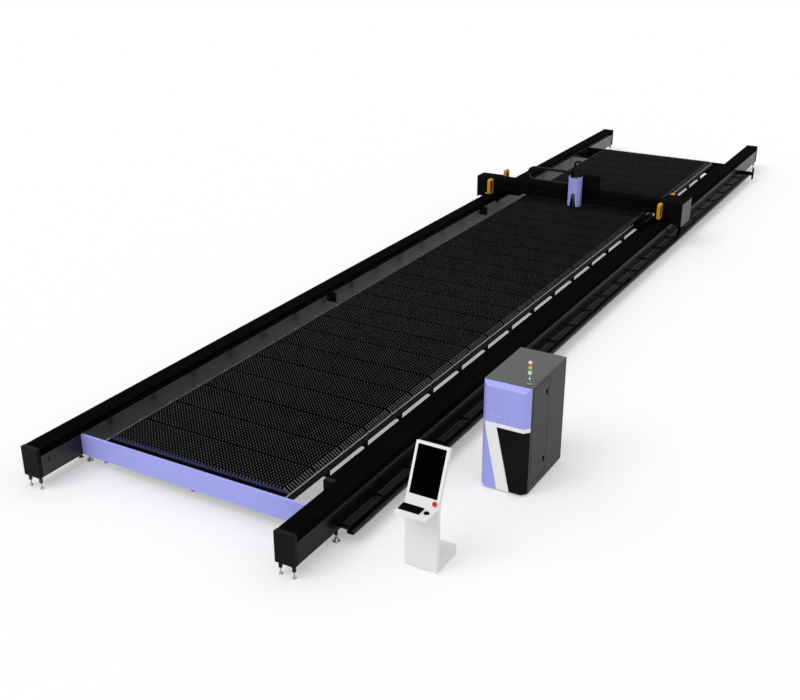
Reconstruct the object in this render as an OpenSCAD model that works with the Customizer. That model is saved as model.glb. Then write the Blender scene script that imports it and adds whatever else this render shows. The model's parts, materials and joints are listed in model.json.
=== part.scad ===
// Large-format fiber laser cutting machine: two ground rails, a slatted bed, a travelling gantry with a
// cutting head, an energy chain trough, a laser cabinet and an operator console.
// +X points to the operator side, +Y to the far end, +Z up. The origin is the middle bed foot on the floor.

/* [Rails] */
// Length of the rails over their end caps
rail_len = 24000; // [18000:500:36000]
// Gap between the bed's side and the inner face of a rail
bed_gap = 410; // [380:10:600]
// Width of a rail's box beam
rail_w = 300; // [260:5:340]
// Height of a rail's box beam
rail_h = 340; // [300:5:380]
// Wall of a rail's box beam
rail_wall = 12; // [8:1:16]
// Gap between the floor and a rail's box beam
rail_clear = 196; // [170:1:230]
// Height of the sheet cover on a rail
cover_h = 120; // [112:1:140]
// Sheet of the rail covers
cover_sheet = 4; // [3:0.5:5]
// Depth of the lip that hangs over the carriage slot
cover_lip = 28; // [16:1:30]
// Depth of an end cap along the rail
cap_depth = 70; // [50:5:100]
// Face plate of an end cap
cap_sheet = 8; // [5:1:12]
// How far an end cap stands proud of the rail
cap_proud = 8; // [5:1:14]
// Width of a leg stub under a rail
stub_w = 38; // [30:2:50]
// Height of a leg stub under a rail
stub_h = 96; // [80:1:110]

/* [Levelling feet] */
// Radius of a foot's base disc
foot_r = 29; // [24:1:36]
// Radius of a foot's threaded stud
stud_r = 8; // [6:1:11]

/* [Bed] */
// Length of a slat across the bed
slat_len = 3230; // [2600:10:3400]
// Thickness of a slat
slat_t = 4; // [3:0.5:8]
// Height of a slat up to its tooth tips
slat_h = 130; // [100:5:150]
// Height of the tooth tips above the floor
slat_top = 600; // [580:5:620]
// Run of the slope at each end of a slat
slat_slope = 85; // [40:5:120]
// Height from a slat's end shoulder to its tooth tips
slat_shoulder = 55; // [40:1:70]
// Distance between slats in a cassette
slat_pitch = 60; // [50:1:62]
// Slats in one cassette
cassette_slats = 11; // [9:1:11]
// Distance between cassettes
cassette_pitch = 695; // [680:5:720]
// Distance from the near rail end to the bed's front end
bed_inset = 1000; // [950:10:1200]
// Distance from the far rail end to the bed's rear end
bed_far = 2130; // [1900:10:2600]
// Width of a side tube of the bed frame
side_tube_w = 60; // [50:5:70]
// Height of a side tube of the bed frame
side_tube_h = 50; // [40:5:60]
// Drop from a slat's end shoulder to the top of the side tubes
tube_drop = 47; // [40:1:60]
// Distance from the near rail end to the first posts of the bed frame
post_inset = 1900; // [1850:10:1950]
// Distance between the posts of the bed frame
post_pitch = 1036; // [1000:1:1040]
// Distance from the near rail end to the front panel
panel_inset = 865; // [830:5:880]
// Height of the front panel
panel_h = 335; // [300:5:340]
// Gap between the floor and the front panel
panel_clear = 193; // [180:1:194]
// Sheet of the front and rear panels
panel_sheet = 5; // [3:1:8]

/* [Gantry] */
// Place of the gantry beam's middle plane along the rails
gantry_y = 3630; // [2000:10:5000]
// Depth of the gantry beam along the rails
beam_d = 320; // [280:10:340]
// Height of the gantry beam
beam_h = 300; // [260:10:340]
// Underside of the gantry beam above the floor
beam_z = 770; // [740:5:800]
// Wall of the gantry beam
beam_wall = 10; // [6:1:16]
// Distance from a rail's outer face to the outer face of an end cover
end_cover_reach = 275; // [240:5:300]
// Sheet of the end covers
end_cover_sheet = 4; // [3:0.5:6]
// How far the left end cover runs past the beam at the back
left_cover_back = 56; // [30:1:90]
// How far the right end cover runs past the beam at the front
right_cover_front = 50; // [30:1:60]
// How far the right end cover runs past the beam at the back
right_cover_back = 360; // [300:5:400]
// Depth of a safety bumper along the rails
bumper_d = 220; // [180:5:260]
// Height of a safety bumper
bumper_h = 370; // [300:5:372]
// Thickness of a safety bumper
bumper_t = 66; // [40:2:70]
// Pitch radius of a rail pinion
pinion_r = 32; // [26:1:34]
// Teeth of a pinion
pinion_teeth = 20; // [16:1:24]

/* [Cutting head] */
// Place of the cutting head across the gantry
head_x = 30; // [-200:10:200]
// Width of the head cover
head_cover_w = 310; // [300:5:360]
// Height of the head cover
head_cover_h = 725; // [680:5:760]
// Gap between the tooth tips and the head cover
head_cover_gap = 115; // [90:5:130]
// Distance from the beam's front to the head cover's front
head_reach = 250; // [245:5:300]
// Width of the fork slot's round top in the head cover
fork_w = 90; // [70:5:110]
// Width of the fork slot's mouth at the head cover's lower edge
fork_mouth_w = 155; // [120:5:180]
// Height of the fork slot in the head cover
fork_h = 320; // [260:5:340]
// Radius of the hose arch to its outer side
arch_r = 105; // [90:5:120]

/* [Energy chains] */
// Width of the chain trough's shelf
shelf_w = 105; // [90:5:130]
// Width of the chain groove
groove_w = 90; // [80:5:110]
// Depth of the chain groove
groove_d = 72; // [64:2:90]
// Width of the trough's outer lip
lip_w = 45; // [35:5:60]
// Distance between the trough's brackets
bracket_pitch = 900; // [750:50:1200]
// Height of a chain link
link_h = 56; // [46:2:60]
// Width of a cross chain link
link_w = 80; // [60:2:84]
// Outer diameter of the cross chain's loop
loop_d = 366; // [330:2:380]

/* [Laser cabinet] */
// Width of the cabinet
cabinet_w = 733; // [650:1:800]
// Depth of the cabinet
cabinet_d = 1329; // [1200:1:1400]
// Height of the cabinet over its feet
cabinet_h = 1714; // [1650:1:1800]
// Left side of the cabinet from the machine's centre line
cabinet_x = 3375; // [3150:5:3600]
// Front of the cabinet from the near rail end
cabinet_front = 3287; // [2800:5:4000]
// Corner chamfer across the cabinet's front cover
chamfer_w = 73; // [50:1:90]
// Corner chamfer along the cabinet's front cover, which is its depth
chamfer_d = 85; // [70:1:110]
// Width of the side door
door_w = 560; // [480:5:600]
// Height of the side door
door_h = 1470; // [1300:10:1480]
// Thickness of the side door
door_t = 20; // [16:1:24]

/* [Console] */
// Width of the console
console_w = 476; // [420:2:540]
// Height of the console
console_h = 1688; // [1600:2:1760]
// Height where the console starts to lean back
lean_z = 950; // [900:5:1000]
// How far the console's top leans back
lean = 310; // [250:5:350]
// Depth of the console's column
column_d = 75; // [60:1:90]
// Depth of the console's base
base_d = 538; // [480:2:600]
// Height of the console's base
base_h = 143; // [120:1:170]
// Left side of the console from the machine's centre line
console_x = 3407; // [3150:5:3600]
// Front of the console from the near rail end
console_front = 1028; // [600:2:1200]
// Depth of the keyboard shelf
shelf_d = 298; // [260:2:340]
// Radius of the emergency stop button
estop_r = 32; // [20:1:36]

/* [Fits] */
// Radial clearance of a shaft or pin in its bore
shaft_fit = 0.05; // [0.02:0.01:0.1]
// Clearance between sliding or seated pieces
slide_fit = 0.4; // [0.3:0.05:0.8]
// Clearance between pieces of a frame before welding
frame_fit = 0.2; // [0.1:0.05:0.5]
// Lift of the first loop link above the chain's lower run
loop_fit = 0.5; // [0.3:0.1:1]

/* [Hidden] */
$fn = 48;
eps = 1;

lilac = "#9a9ee4";
white = "#e6e6e6";
black = "#161616";
rail_grey = "#3a3a3c";
cabinet_grey = "#474747";
chrome = "#c8c8cc";
ochre = "#c8941c";

// Rails: the right one is drawn, and the left one mirrors it
near_y = -rail_len / 2;
slat_gap = 5;
tube_x0 = slat_len / 2 + slat_gap;
tube_x1 = tube_x0 + side_tube_w;
rail_in = tube_x1 + bed_gap;
rail_out = rail_in + rail_w;
rail_x = (rail_in + rail_out) / 2;
rail_z1 = rail_clear + rail_h;
cover_z1 = rail_z1 + cover_h;
beam_y = rail_len / 2 - cap_sheet;
cover_flange = 34;
cap_round = 10;
slot_w = 24;
slot_h = 60;
slot_inset = 220;
side_hole_r = 7;
side_hole_pitch = 1000;
guide_x = rail_x + rail_w / 5;
guide_w = 45;
guide_h = 38;
guide_inset = cap_depth + 30;
rack_w = 30;
rack_h = 25;
rack_x = rail_x - rail_w / 4;

// Feet under the rails stand in pairs near both side faces
foot_h = rail_clear - stub_h;
foot_disc_h = 10;
foot_neck_h = 34;
foot_ball_r = 12;
foot_inset = 44;
end_foot_inset = 50;
next_foot_inset = 1030;
mid_foot_count = 8;
mid_foot_pitch = (rail_len - 2 * next_foot_inset) / (mid_foot_count - 1);
rail_foot_ys = concat(
    [near_y + end_foot_inset, -near_y - end_foot_inset],
    [for (i = [0 : mid_foot_count - 1]) near_y + next_foot_inset + i * mid_foot_pitch]
);
rail_foot_xs = [rail_in + foot_inset, rail_out - foot_inset];

// Bed
bed_y0 = near_y + bed_inset;
slat_y0 = bed_y0 + 15;
bed_y1 = -near_y - bed_far;
last_slat_gap = 100;
cassette_len = (cassette_slats - 1) * slat_pitch;
cassettes = floor((bed_y1 - last_slat_gap - slat_y0 - cassette_len) / cassette_pitch + 0.001) + 1;
slat_z0 = slat_top - slat_h;
bar_h = 40;
bar_w = 12;
bar_count = 5;
cross_z1 = slat_z0 - bar_h;
cross_h = 80;
post_w = 44;
post_z0 = 100;
tube_z1 = slat_top - slat_shoulder - tube_drop;
tube_z0 = tube_z1 - side_tube_h;
post_y0 = near_y + post_inset;
post_last = floor((bed_y1 - post_w / 2 - post_y0) / post_pitch);
post_ys = [for (i = [0 : post_last]) post_y0 + i * post_pitch];
middle_post_pitch = 3 * post_pitch;
middle_post_last = floor(bed_y1 / middle_post_pitch);
middle_post_ys = [for (i = [-middle_post_last : middle_post_last]) i * middle_post_pitch];
post_x0 = tube_x1 - post_w;
strip_t = 3;
strip_w = 15;
strip_rise = 30;
front_teeth = 54;
front_tooth_h = 52;
panel_y0 = near_y + panel_inset;
panel_z1 = panel_clear + panel_h;
panel_flange = 40;
tube_y0 = panel_y0 + panel_flange + frame_fit;
panel_foot_side = 223;
panel_foot_mid = -178;
panel_foot_back = 225;
panel_foot_xs = [panel_foot_side - rail_in, panel_foot_mid, rail_in - panel_foot_side];
foot_arm_w = 60;
foot_arm_z0 = panel_clear + panel_sheet + frame_fit;
rear_panel_y1 = bed_y1 + 95;
front_bar_t = 8;
ledge_sheet = 6;
ledge_rib_t = 8;
ledge_rib_h = 10;
ledge_rib_pitch = 530;
stop_block_len = 110;
stop_block_d = 50;
stop_block_h = 190;
stop_block_gap = 6;
stop_block_near = 7775;
stop_block_far = 2425;
stop_block_count = 3;
stop_block_pitch = (rail_len - stop_block_near - stop_block_far) / (stop_block_count - 1);
stop_block_ys = [for (i = [0 : stop_block_count - 1]) near_y + stop_block_near + i * stop_block_pitch];
end_block_len = 284;
end_block_d = 90;
end_block_inset = 1550;
inner_ledge_w = 265;
inner_ledge_t = 6;
inner_ledge_drop = 10;

// Carriages reach into the rail covers through the slot under the cover lip
bearing_w = 100;
bearing_len = 140;
bearing_lift = 10;
plate_z0 = rail_z1 + 60;
plate_t = 20;
plate_z1 = plate_z0 + plate_t;
plate_x1 = guide_x + bearing_w / 2 + 5;
carriage_in = rail_in - 90;
pedestal_x1 = rail_in - 10;
apron_t = 20;
apron_z0 = rail_z1 + 4;
beam_y0 = gantry_y - beam_d / 2;
beam_y1 = gantry_y + beam_d / 2;
beam_z1 = beam_z + beam_h;
left_plate_front = 270;
left_plate_back = 210;
right_plate_front = 30;
right_plate_back = 310;
left_plate_ys = [beam_y0 - left_plate_front, beam_y1 + left_plate_back];
right_plate_ys = [beam_y0 - right_plate_front, beam_y1 + right_plate_back];
beam_half = rail_out + 30;
cover_in = rail_in + 10;
cover_out = rail_out + end_cover_reach;
end_cover_z0 = cover_z1 - 86;
end_cover_step_z = cover_z1 + 44;
end_cover_z1 = beam_z1 + end_cover_sheet + 2;
left_cover_ys = [beam_y0 - end_cover_sheet - 2, beam_y1 + left_cover_back];
right_cover_ys = [beam_y0 - right_cover_front, beam_y1 + right_cover_back];
bumper_x1 = rail_in + 110;
bumper_z1 = beam_z1 - 5;
bumper_round = 40;
bumper_slot_d = 90;
bumper_slot_h = bumper_h - 120;
left_rear_arm = 190;
left_front_shift = 75;
left_rear_lift = 70;
arm_w = 50;
arm_h = 60;

// Drive units: the right one stands in front of its carriage, the left one behind
drive_bed_gap = 40;
drive_rail_gap = 40;
drive_in = tube_x1 + drive_bed_gap;
drive_out = rail_in - drive_rail_gap;
drive_len = 640;
drive_z1 = cover_z1 + 49;
drive_chamfer = 30;
bolt_r = 12;
bolt_head_r = 19;
bolt_head_h = 14;
bolt_h = 26;
pinion_x0 = rack_x - rack_w / 2 + 1;
pinion_x1 = rack_x + rack_w / 2 - 1;
pinion_tooth_h = 6;
pinion_z = rail_z1 + rack_h + slide_fit + pinion_r + pinion_tooth_h / 2;
pinion_shaft_r = 14;
pinion_seat = 60;
right_drive_ys = [right_plate_ys[0] - drive_len, right_plate_ys[0]];
left_drive_ys = [left_plate_ys[1], left_plate_ys[1] + drive_len];

// Cross axis on the gantry beam
cross_guide_d = 22;
cross_guide_w = 28;
cross_guide_zs = [beam_z + 50, beam_z1 - 60];
cross_guide_half = rail_in - 40;
cross_rack_y0 = beam_y0 + 90;
cross_rack_w = 25;
cross_rack_h = 25;
cross_pinion_r = 26;
cross_pinion_y = cross_rack_y0 - slide_fit - cross_pinion_r - pinion_tooth_h / 2;
cross_pinion_shaft_r = 10;
cross_pinion_x = head_x + 270;
chain_y0 = beam_y1 - 90;
chain_y1 = chain_y0 + link_w;
chain_z0 = beam_z1;
chain_gap = 0.6;
link_chamfer = 6;
loop_links = 9;
loop_r = (loop_d - link_h) / 2;
link_len = PI * loop_r / loop_links;
loop_x = -rail_x * 0.545;
lower_links = floor((head_x + 70 - loop_x) / link_len);
upper_links = floor((head_x - 245 - loop_x) / link_len);
chain_top_z = chain_z0 + loop_d;
tow_y = gantry_y + 70;
tow_t = 20;
tow_w = 60;

// Head carriage and what it carries
head_front = beam_y0 - head_reach;
head_plate_y1 = beam_y0 - 50;
head_plate_t = 20;
head_plate_y0 = head_plate_y1 - head_plate_t;
head_plate_half = head_cover_w / 2 + 25;
head_plate_z0 = beam_z + 20;
top_plate_z0 = beam_z1 + 30;
top_plate_z1 = top_plate_z0 + head_plate_t;
top_plate_y1 = chain_y0 - 20;
drive_box_x0 = head_x + arch_r + 5;
drive_box_w = 390;
drive_box_x1 = drive_box_x0 + drive_box_w;
drive_box_y0 = head_plate_y0 + 90;
drive_box_h = 320;
drive_box_r = 70;
chain_arm_x0 = head_x - 260;
chain_arm_x1 = head_x - 140;
chain_arm_t = 15;
bearing_half = 30;
head_bearing_len = 100;
head_bearing_x = 120;
head_cover_z0 = slat_top + head_cover_gap;
head_cover_z1 = head_cover_z0 + head_cover_h;
head_sheet = 3;
head_chamfer_x = 55;
head_chamfer_y = 60;
cover_dip = 25;
actuator_half = 60;
actuator_d = 40;
actuator_z0 = head_plate_z0;
actuator_z1 = head_cover_z1 - 40;
slide_t = 14;
slide_half = 50;
slide_z0 = beam_z + 130;
slide_z1 = slide_z0 + 200;
head_r = 32;
head_block_half = 45;
head_block_d = 90;
head_y = head_plate_y0 - actuator_d - slide_fit - slide_t - head_block_d / 2;
nozzle_tip_z = slat_top + 100;
nozzle_z1 = nozzle_tip_z + 60;
collimator_z1 = slide_z1 + 190;
arch_t = 45;
arch_w = 60;
arch_y0 = head_plate_y0 + 24;
arch_rise = 355;
arch_top_z = head_cover_z1 + arch_rise;

// Chain trough outside the right rail
trough_x0 = rail_out + 10;
groove_x0 = trough_x0 + shelf_w;
groove_x1 = groove_x0 + groove_w;
trough_x1 = groove_x1 + lip_w;
trough_sheet = 4;
trough_z1 = 230;
groove_z = trough_z1 - groove_d;
lip_drop = 30;
trough_y0 = near_y + 1060;
trough_y1 = bed_y1 + 440;
rib_t = 14;
rib_h = 22;
bracket_h = 30;
bracket_w = 40;
bracket_count = floor((trough_y1 - trough_y0 - bracket_w) / bracket_pitch);
stop_bar_w = 80;
stop_bar_h = 90;
stop_plate_t = 25;
stop_plate_h = 310;
stop_plate_d = 140;
trough_link_len = 75;
trough_link_h = 60;
trough_link_w = groove_w - 10;
trough_chain_y0 = 360;
trough_link_count = floor((trough_y1 - trough_chain_y0 - 10) / trough_link_len);

// Laser cabinet
cabinet_y = near_y + cabinet_front;
cabinet_z0 = 30;
cabinet_x1 = cabinet_x + cabinet_w;
cabinet_y1 = cabinet_y + cabinet_d;
body_y = cabinet_y + chamfer_d;
cabinet_sheet = 4;
door_wall = 30;
door_gap = 0.8;
door_y0 = body_y + 60;
door_z0 = cabinet_z0 + 135;
hinge_r = door_t / 2;
hinge_x = cabinet_x1 - hinge_r;
hinge_y = door_y0 + hinge_r;
hinge_pin_r = 5;
hinge_pin_len = 20;
pull_w = 70;
pull_h = 90;
pull_d = 5;
pull_inset = 40;
pull_zs = [door_z0 + 0.13 * door_h, door_z0 + 0.87 * door_h];
slope_d = 95;
slope_h = 70;
stripe_z1 = 1095;
stripe_band = 62;
stripe_x = 50;
stripe_w = 195;
stripe_run = 230;
black_inset = 6;
lamp_z = 1200;
lamp_r = 7;
lamp_t = 4;
lamp_xs = [for (i = [0 : 3]) cabinet_x + 165 + i * 106];
cabinet_foot_r = 40;
cabinet_foot_inset = 90;
source_w = 560;
source_d = 900;
source_h = 420;
source_handle_near = 100;
source_handle_far = 340;
source_handle_len = 120;
source_handle_r = 8;
source_handle_gap = 4;
light_x = cabinet_x1 - 98;
light_y = cabinet_y + 193;
light_r = 27;
light_pole_r = 11;
light_base_r = 34;
light_pole_h = 165;
light_ring_h = 50;
lens_h = 36;
light_z0 = cabinet_h + light_pole_h;
lens_z0 = light_z0 + light_ring_h;
light_cap_h = 30;

// Console
console_y = near_y + console_front;
lean_len = norm([lean, console_h - lean_z]);
lean_y = lean / lean_len;
lean_up = (console_h - lean_z) / lean_len;
lean_angle = atan2(lean, console_h - lean_z);
frame_t = 65;
screen_margin = 36;
screen_low = 124;
screen_high = 34;
screen_t = 8;
screen_sink = 6;
shelf_t = 25;
shelf_z1 = lean_z + 8;
shelf_inset = 6;
keyboard_w = 300;
keyboard_d = 145;
keyboard_h = 18;
keyboard_y = -210;
mouse_r = 38;
mouse_h = 30;
mouse_x = 390;
mouse_y = -135;
estop_x = 423;
estop_up = 70;
collar_r = estop_r - 6;
collar_h = 8;
estop_stem_r = 14;
estop_stem_h = 16;
estop_travel = 6;
estop_head_h = 18;
toe_w = 260;
toe_h = 14;
toe_d = 12;

// Box between two corners
module box(lo, hi) {
    translate(lo)
        cube(hi - lo);
}

// Profile drawn in x and z, run along y
module along_y(y0, y1) {
    translate([0, y1, 0])
        rotate([90, 0, 0])
            linear_extrude(y1 - y0)
                children();
}

// Profile drawn in y and z, run along x
module along_x(x0, x1) {
    translate([x0, 0, 0])
        rotate([90, 0, 90])
            linear_extrude(x1 - x0)
                children();
}

// Right side as drawn for side 1, mirrored to the left for side -1
module on_side(side) {
    if (side < 0)
        mirror([1, 0, 0])
            children();
    else
        children();
}

module both_sides() {
    children();
    mirror([1, 0, 0])
        children();
}

// Rectangle between two corners with round corners
module round_rect(lo, hi, r) {
    translate([lo[0] + r, lo[1]])
        square([hi[0] - lo[0] - 2 * r, hi[1] - lo[1]]);
    translate([lo[0], lo[1] + r])
        square([hi[0] - lo[0], hi[1] - lo[1] - 2 * r]);
    for (x = [lo[0] + r, hi[0] - r], y = [lo[1] + r, hi[1] - r])
        translate([x, y])
            circle(r);
}

// Pinion about the z axis from z = 0 to its face width
module pinion_gear(pitch_r, face) {
    tip = pitch_r + pinion_tooth_h / 2;
    root = pitch_r - pinion_tooth_h / 2;
    step = 360 / pinion_teeth;
    tooth = [[root, -0.34], [tip, -0.14], [tip, 0.14], [root, 0.34]];
    linear_extrude(face)
        polygon([
            for (i = [0 : pinion_teeth - 1], p = tooth)
                p[0] * [cos((i + p[1]) * step), sin((i + p[1]) * step)]
        ]);
}

// Chrome foot standing on the floor, with its stud up to a height
module foot(top, disc_r) {
    rotate_extrude()
        polygon([
            [0, 0], [disc_r, 0], [disc_r, foot_disc_h], [stud_r + 4, foot_neck_h], [stud_r, foot_neck_h],
            [stud_r, top], [0, top]
        ]);
    translate([0, 0, foot_neck_h + foot_ball_r / 2])
        sphere(foot_ball_r);
}

module rail_beam(side) {
    on_side(side)
        color(rail_grey) {
            difference() {
                box([rail_in, -beam_y, rail_clear], [rail_out, beam_y, rail_z1]);
                box(
                    [rail_in + rail_wall, -beam_y - eps, rail_clear + rail_wall],
                    [rail_out - rail_wall, beam_y + eps, rail_z1 - rail_wall]
                );
                for (e = [-1, 1])
                    rail_slot(e * (-near_y - slot_inset));
                for (y = [near_y + side_hole_pitch / 2 : side_hole_pitch : -near_y])
                    translate([rail_in - eps, y, rail_z1 - rail_h / 4])
                        rotate([0, 90, 0])
                            cylinder(r = side_hole_r, h = rail_wall + 2 * eps);
            }
            for (x = rail_foot_xs, y = rail_foot_ys)
                translate([x - stub_w / 2, y - stub_w / 2, foot_h])
                    cube([stub_w, stub_w, stub_h - frame_fit]);
        }
}

// Upright slot through the inner wall of a rail
module rail_slot(y) {
    z = rail_clear + 0.6 * rail_h;
    box([rail_in - eps, y - slot_w / 2, z], [rail_in + rail_wall + eps, y + slot_w / 2, z + slot_h]);
    for (end = [z, z + slot_h])
        translate([rail_in - eps, y, end])
            rotate([0, 90, 0])
                cylinder(r = slot_w / 2, h = rail_wall + 2 * eps);
}

module left_rail_beam() {
    rail_beam(-1);
}

module right_rail_beam() {
    rail_beam(1);
}

// Two folded sheets: an outer wall with a flange on the beam, and a top with a lip over the carriage slot
module rail_covers() {
    t = cover_sheet;
    wall_z1 = cover_z1 - t - frame_fit;
    color(black)
        both_sides()
            along_y(-beam_y, beam_y) {
                polygon([
                    [rail_out - cover_flange, rail_z1], [rail_out, rail_z1], [rail_out, wall_z1],
                    [rail_out - t, wall_z1], [rail_out - t, rail_z1 + t],
                    [rail_out - cover_flange, rail_z1 + t]
                ]);
                polygon([
                    [rail_in, cover_z1 - cover_lip], [rail_in + t, cover_z1 - cover_lip],
                    [rail_in + t, cover_z1 - t], [rail_out, cover_z1 - t], [rail_out, cover_z1],
                    [rail_in, cover_z1]
                ]);
            }
}

module end_cap() {
    difference() {
        along_y(near_y, near_y + cap_depth)
            round_rect(
                [rail_in - cap_proud, rail_clear], [rail_out + cap_proud, cover_z1 + cap_proud], cap_round
            );
        box(
            [rail_in - slide_fit, near_y + cap_sheet, rail_clear - eps],
            [rail_out + slide_fit, near_y + cap_depth + eps, cover_z1 + slide_fit]
        );
    }
}

module rail_end_caps() {
    color(rail_grey)
        both_sides() {
            end_cap();
            mirror([0, 1, 0])
                end_cap();
        }
}

function guide_profile(grow) = [
    [-guide_w / 2 - grow, 0], [guide_w / 2 + grow, 0], [guide_w / 2 + grow, 0.32 * guide_h],
    [guide_w / 3 + grow, 0.47 * guide_h], [guide_w / 3 + grow, 0.68 * guide_h],
    [guide_w / 2 + grow, 0.8 * guide_h], [guide_w / 2 + grow, guide_h + grow],
    [-guide_w / 2 - grow, guide_h + grow], [-guide_w / 2 - grow, 0.8 * guide_h],
    [-guide_w / 3 - grow, 0.68 * guide_h], [-guide_w / 3 - grow, 0.47 * guide_h],
    [-guide_w / 2 - grow, 0.32 * guide_h]
];

// Linear guide and plain rack bar on each rail
module rail_guides() {
    y1 = -near_y - guide_inset;
    color(chrome)
        both_sides() {
            along_y(-y1, y1)
                translate([guide_x, rail_z1])
                    polygon(guide_profile(0));
            box([rack_x - rack_w / 2, -y1, rail_z1], [rack_x + rack_w / 2, y1, rail_z1 + rack_h]);
        }
}

module leveling_feet() {
    color(chrome) {
        both_sides()
            for (x = rail_foot_xs, y = rail_foot_ys)
                translate([x, y, 0])
                    foot(foot_h, foot_r);
        for (x = [-1, 1], y = post_ys)
            translate([x * (post_x0 + post_w / 2), y, 0])
                foot(post_z0, foot_r);
        for (y = middle_post_ys)
            translate([0, y, 0])
                foot(post_z0, foot_r);
        for (x = panel_foot_xs)
            translate([x, panel_y0 + panel_foot_back, 0])
                foot(foot_arm_z0, foot_r);
    }
}

// Folded panel between the rails, open to the back, with flanges at its top and bottom
module folded_panel(face_y, back) {
    d = back * panel_flange;
    t = back * panel_sheet;
    along_x(-rail_in, rail_in)
        polygon([
            [face_y, panel_clear], [face_y + d, panel_clear], [face_y + d, panel_clear + panel_sheet],
            [face_y + t, panel_clear + panel_sheet], [face_y + t, panel_z1 - panel_sheet],
            [face_y + d, panel_z1 - panel_sheet], [face_y + d, panel_z1], [face_y, panel_z1]
        ]);
}

// Front panel, with an arm on its lower flange back to each of its feet
module front_panel() {
    color(lilac) {
        folded_panel(panel_y0, 1);
        for (x = panel_foot_xs)
            box(
                [x - foot_arm_w / 2, panel_y0 + panel_sheet + frame_fit, foot_arm_z0],
                [x + foot_arm_w / 2, panel_y0 + panel_foot_back + foot_arm_w / 2, foot_arm_z0 + panel_sheet]
            );
    }
}

module rear_panel() {
    color(black)
        folded_panel(rear_panel_y1, -1);
}

// Black ledge with ribs from the front panel's top flange to the bed
module front_ledge() {
    y0 = panel_y0 + panel_flange;
    y1 = bed_y0 - front_bar_t;
    half = slat_len / 2;
    color(black) {
        box([-half, y0, panel_z1 - ledge_sheet], [half, y1, panel_z1]);
        for (x = [-2.5 : 2.5])
            translate([x * ledge_rib_pitch - ledge_rib_t / 2, y0, panel_z1 - eps])
                cube([ledge_rib_t, y1 - y0, ledge_rib_h + eps]);
    }
}

// Toothed plate across the bed's front, with the slats' sloped ends
module bed_front_bar() {
    half = slat_len / 2;
    top_half = half - slat_slope;
    step = 2 * top_half / front_teeth;
    z0 = slat_z0 - bar_h;
    teeth = [
        for (i = [0 : front_teeth - 1])
            each [
                [top_half - (i + 0.5) * step, slat_top - front_tooth_h],
                [top_half - (i + 1) * step, slat_top]
            ]
    ];
    color(lilac)
        along_y(bed_y0 - front_bar_t, bed_y0)
            polygon(concat(
                [[-half, z0], [half, z0], [half, slat_top - slat_shoulder], [top_half, slat_top]],
                teeth,
                [[-half, slat_top - slat_shoulder]]
            ));
}

// Frame of side tubes, posts and cross members
module bed_frame() {
    color(black) {
        both_sides() {
            box([tube_x0, tube_y0, tube_z0], [tube_x1, bed_y1, tube_z1]);
            for (y = post_ys)
                box(
                    [post_x0, y - post_w / 2, post_z0],
                    [tube_x1, y + post_w / 2, tube_z0 - frame_fit]
                );
        }
        for (y = post_ys)
            box(
                [-post_x0 + frame_fit, y - post_w / 2, cross_z1 - cross_h],
                [post_x0 - frame_fit, y + post_w / 2, cross_z1]
            );
        for (y = middle_post_ys)
            box(
                [-post_w / 2, y - post_w / 2, post_z0],
                [post_w / 2, y + post_w / 2, cross_z1 - frame_fit]
            );
    }
}

module slat_support_bars() {
    reach = slat_len / 2 - 200;
    step = 2 * reach / (bar_count - 1);
    color(black)
        for (i = [0 : bar_count - 1])
            translate([-reach + i * step - bar_w / 2, bed_y0, cross_z1])
                cube([bar_w, bed_y1 - bed_y0, bar_h]);
}

// Slats standing on edge in cassettes, with a wider gap between cassettes and sloped ends
module bed_slats() {
    half = slat_len / 2;
    top_half = half - slat_slope;
    shoulder_z = slat_top - slat_shoulder;
    color(black)
        for (c = [0 : cassettes - 1], s = [0 : cassette_slats - 1]) {
            y = slat_y0 + c * cassette_pitch + s * slat_pitch;
            along_y(y - slat_t / 2, y + slat_t / 2)
                polygon([
                    [-half, slat_z0], [half, slat_z0], [half, shoulder_z],
                    [top_half, slat_top], [-top_half, slat_top], [-half, shoulder_z]
                ]);
        }
}

// Folded strips that stand on the side tubes beside the slat ends
module side_deflectors() {
    z1 = tube_z1 + strip_rise;
    color("#8a8a8c")
        both_sides()
            along_y(tube_y0, bed_y1)
                polygon([
                    [tube_x0, tube_z1], [tube_x0 + strip_t, tube_z1], [tube_x0 + strip_t, z1 - strip_t],
                    [tube_x0 + strip_w, z1 - strip_t], [tube_x0 + strip_w, z1], [tube_x0, z1]
                ]);
}

// Blocks on the left rail, and on the right rail an end block with a long ledge behind it
module rail_stop_blocks() {
    z1 = rail_z1 - stop_block_gap;
    end_y0 = near_y + end_block_inset;
    ledge_y0 = end_y0 + end_block_d + frame_fit;
    ledge_y1 = rear_panel_y1 - panel_flange - frame_fit;
    ledge_z1 = rail_z1 - inner_ledge_drop;
    color(black) {
        on_side(-1)
            for (y = stop_block_ys)
                box(
                    [rail_in - stop_block_len, y - stop_block_d / 2, z1 - stop_block_h],
                    [rail_in, y + stop_block_d / 2, z1]
                );
        box([rail_in - end_block_len, end_y0, z1 - stop_block_h], [rail_in, end_y0 + end_block_d, z1]);
        box([rail_in - inner_ledge_w, ledge_y0, ledge_z1 - inner_ledge_t], [rail_in, ledge_y1, ledge_z1]);
    }
}

// Folded tray: shelf, chain groove and outer lip
module chain_trough() {
    t = trough_sheet;
    color("#2c2c2e")
        along_y(trough_y0, trough_y1)
            polygon([
                [trough_x0, trough_z1], [groove_x0, trough_z1], [groove_x0, groove_z], [groove_x1, groove_z],
                [groove_x1, trough_z1], [trough_x1, trough_z1], [trough_x1, trough_z1 - lip_drop],
                [trough_x1 - t, trough_z1 - lip_drop], [trough_x1 - t, trough_z1 - t],
                [groove_x1 + t, trough_z1 - t], [groove_x1 + t, groove_z - t], [groove_x0 - t, groove_z - t],
                [groove_x0 - t, trough_z1 - t], [trough_x0, trough_z1 - t]
            ]);
}

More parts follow.
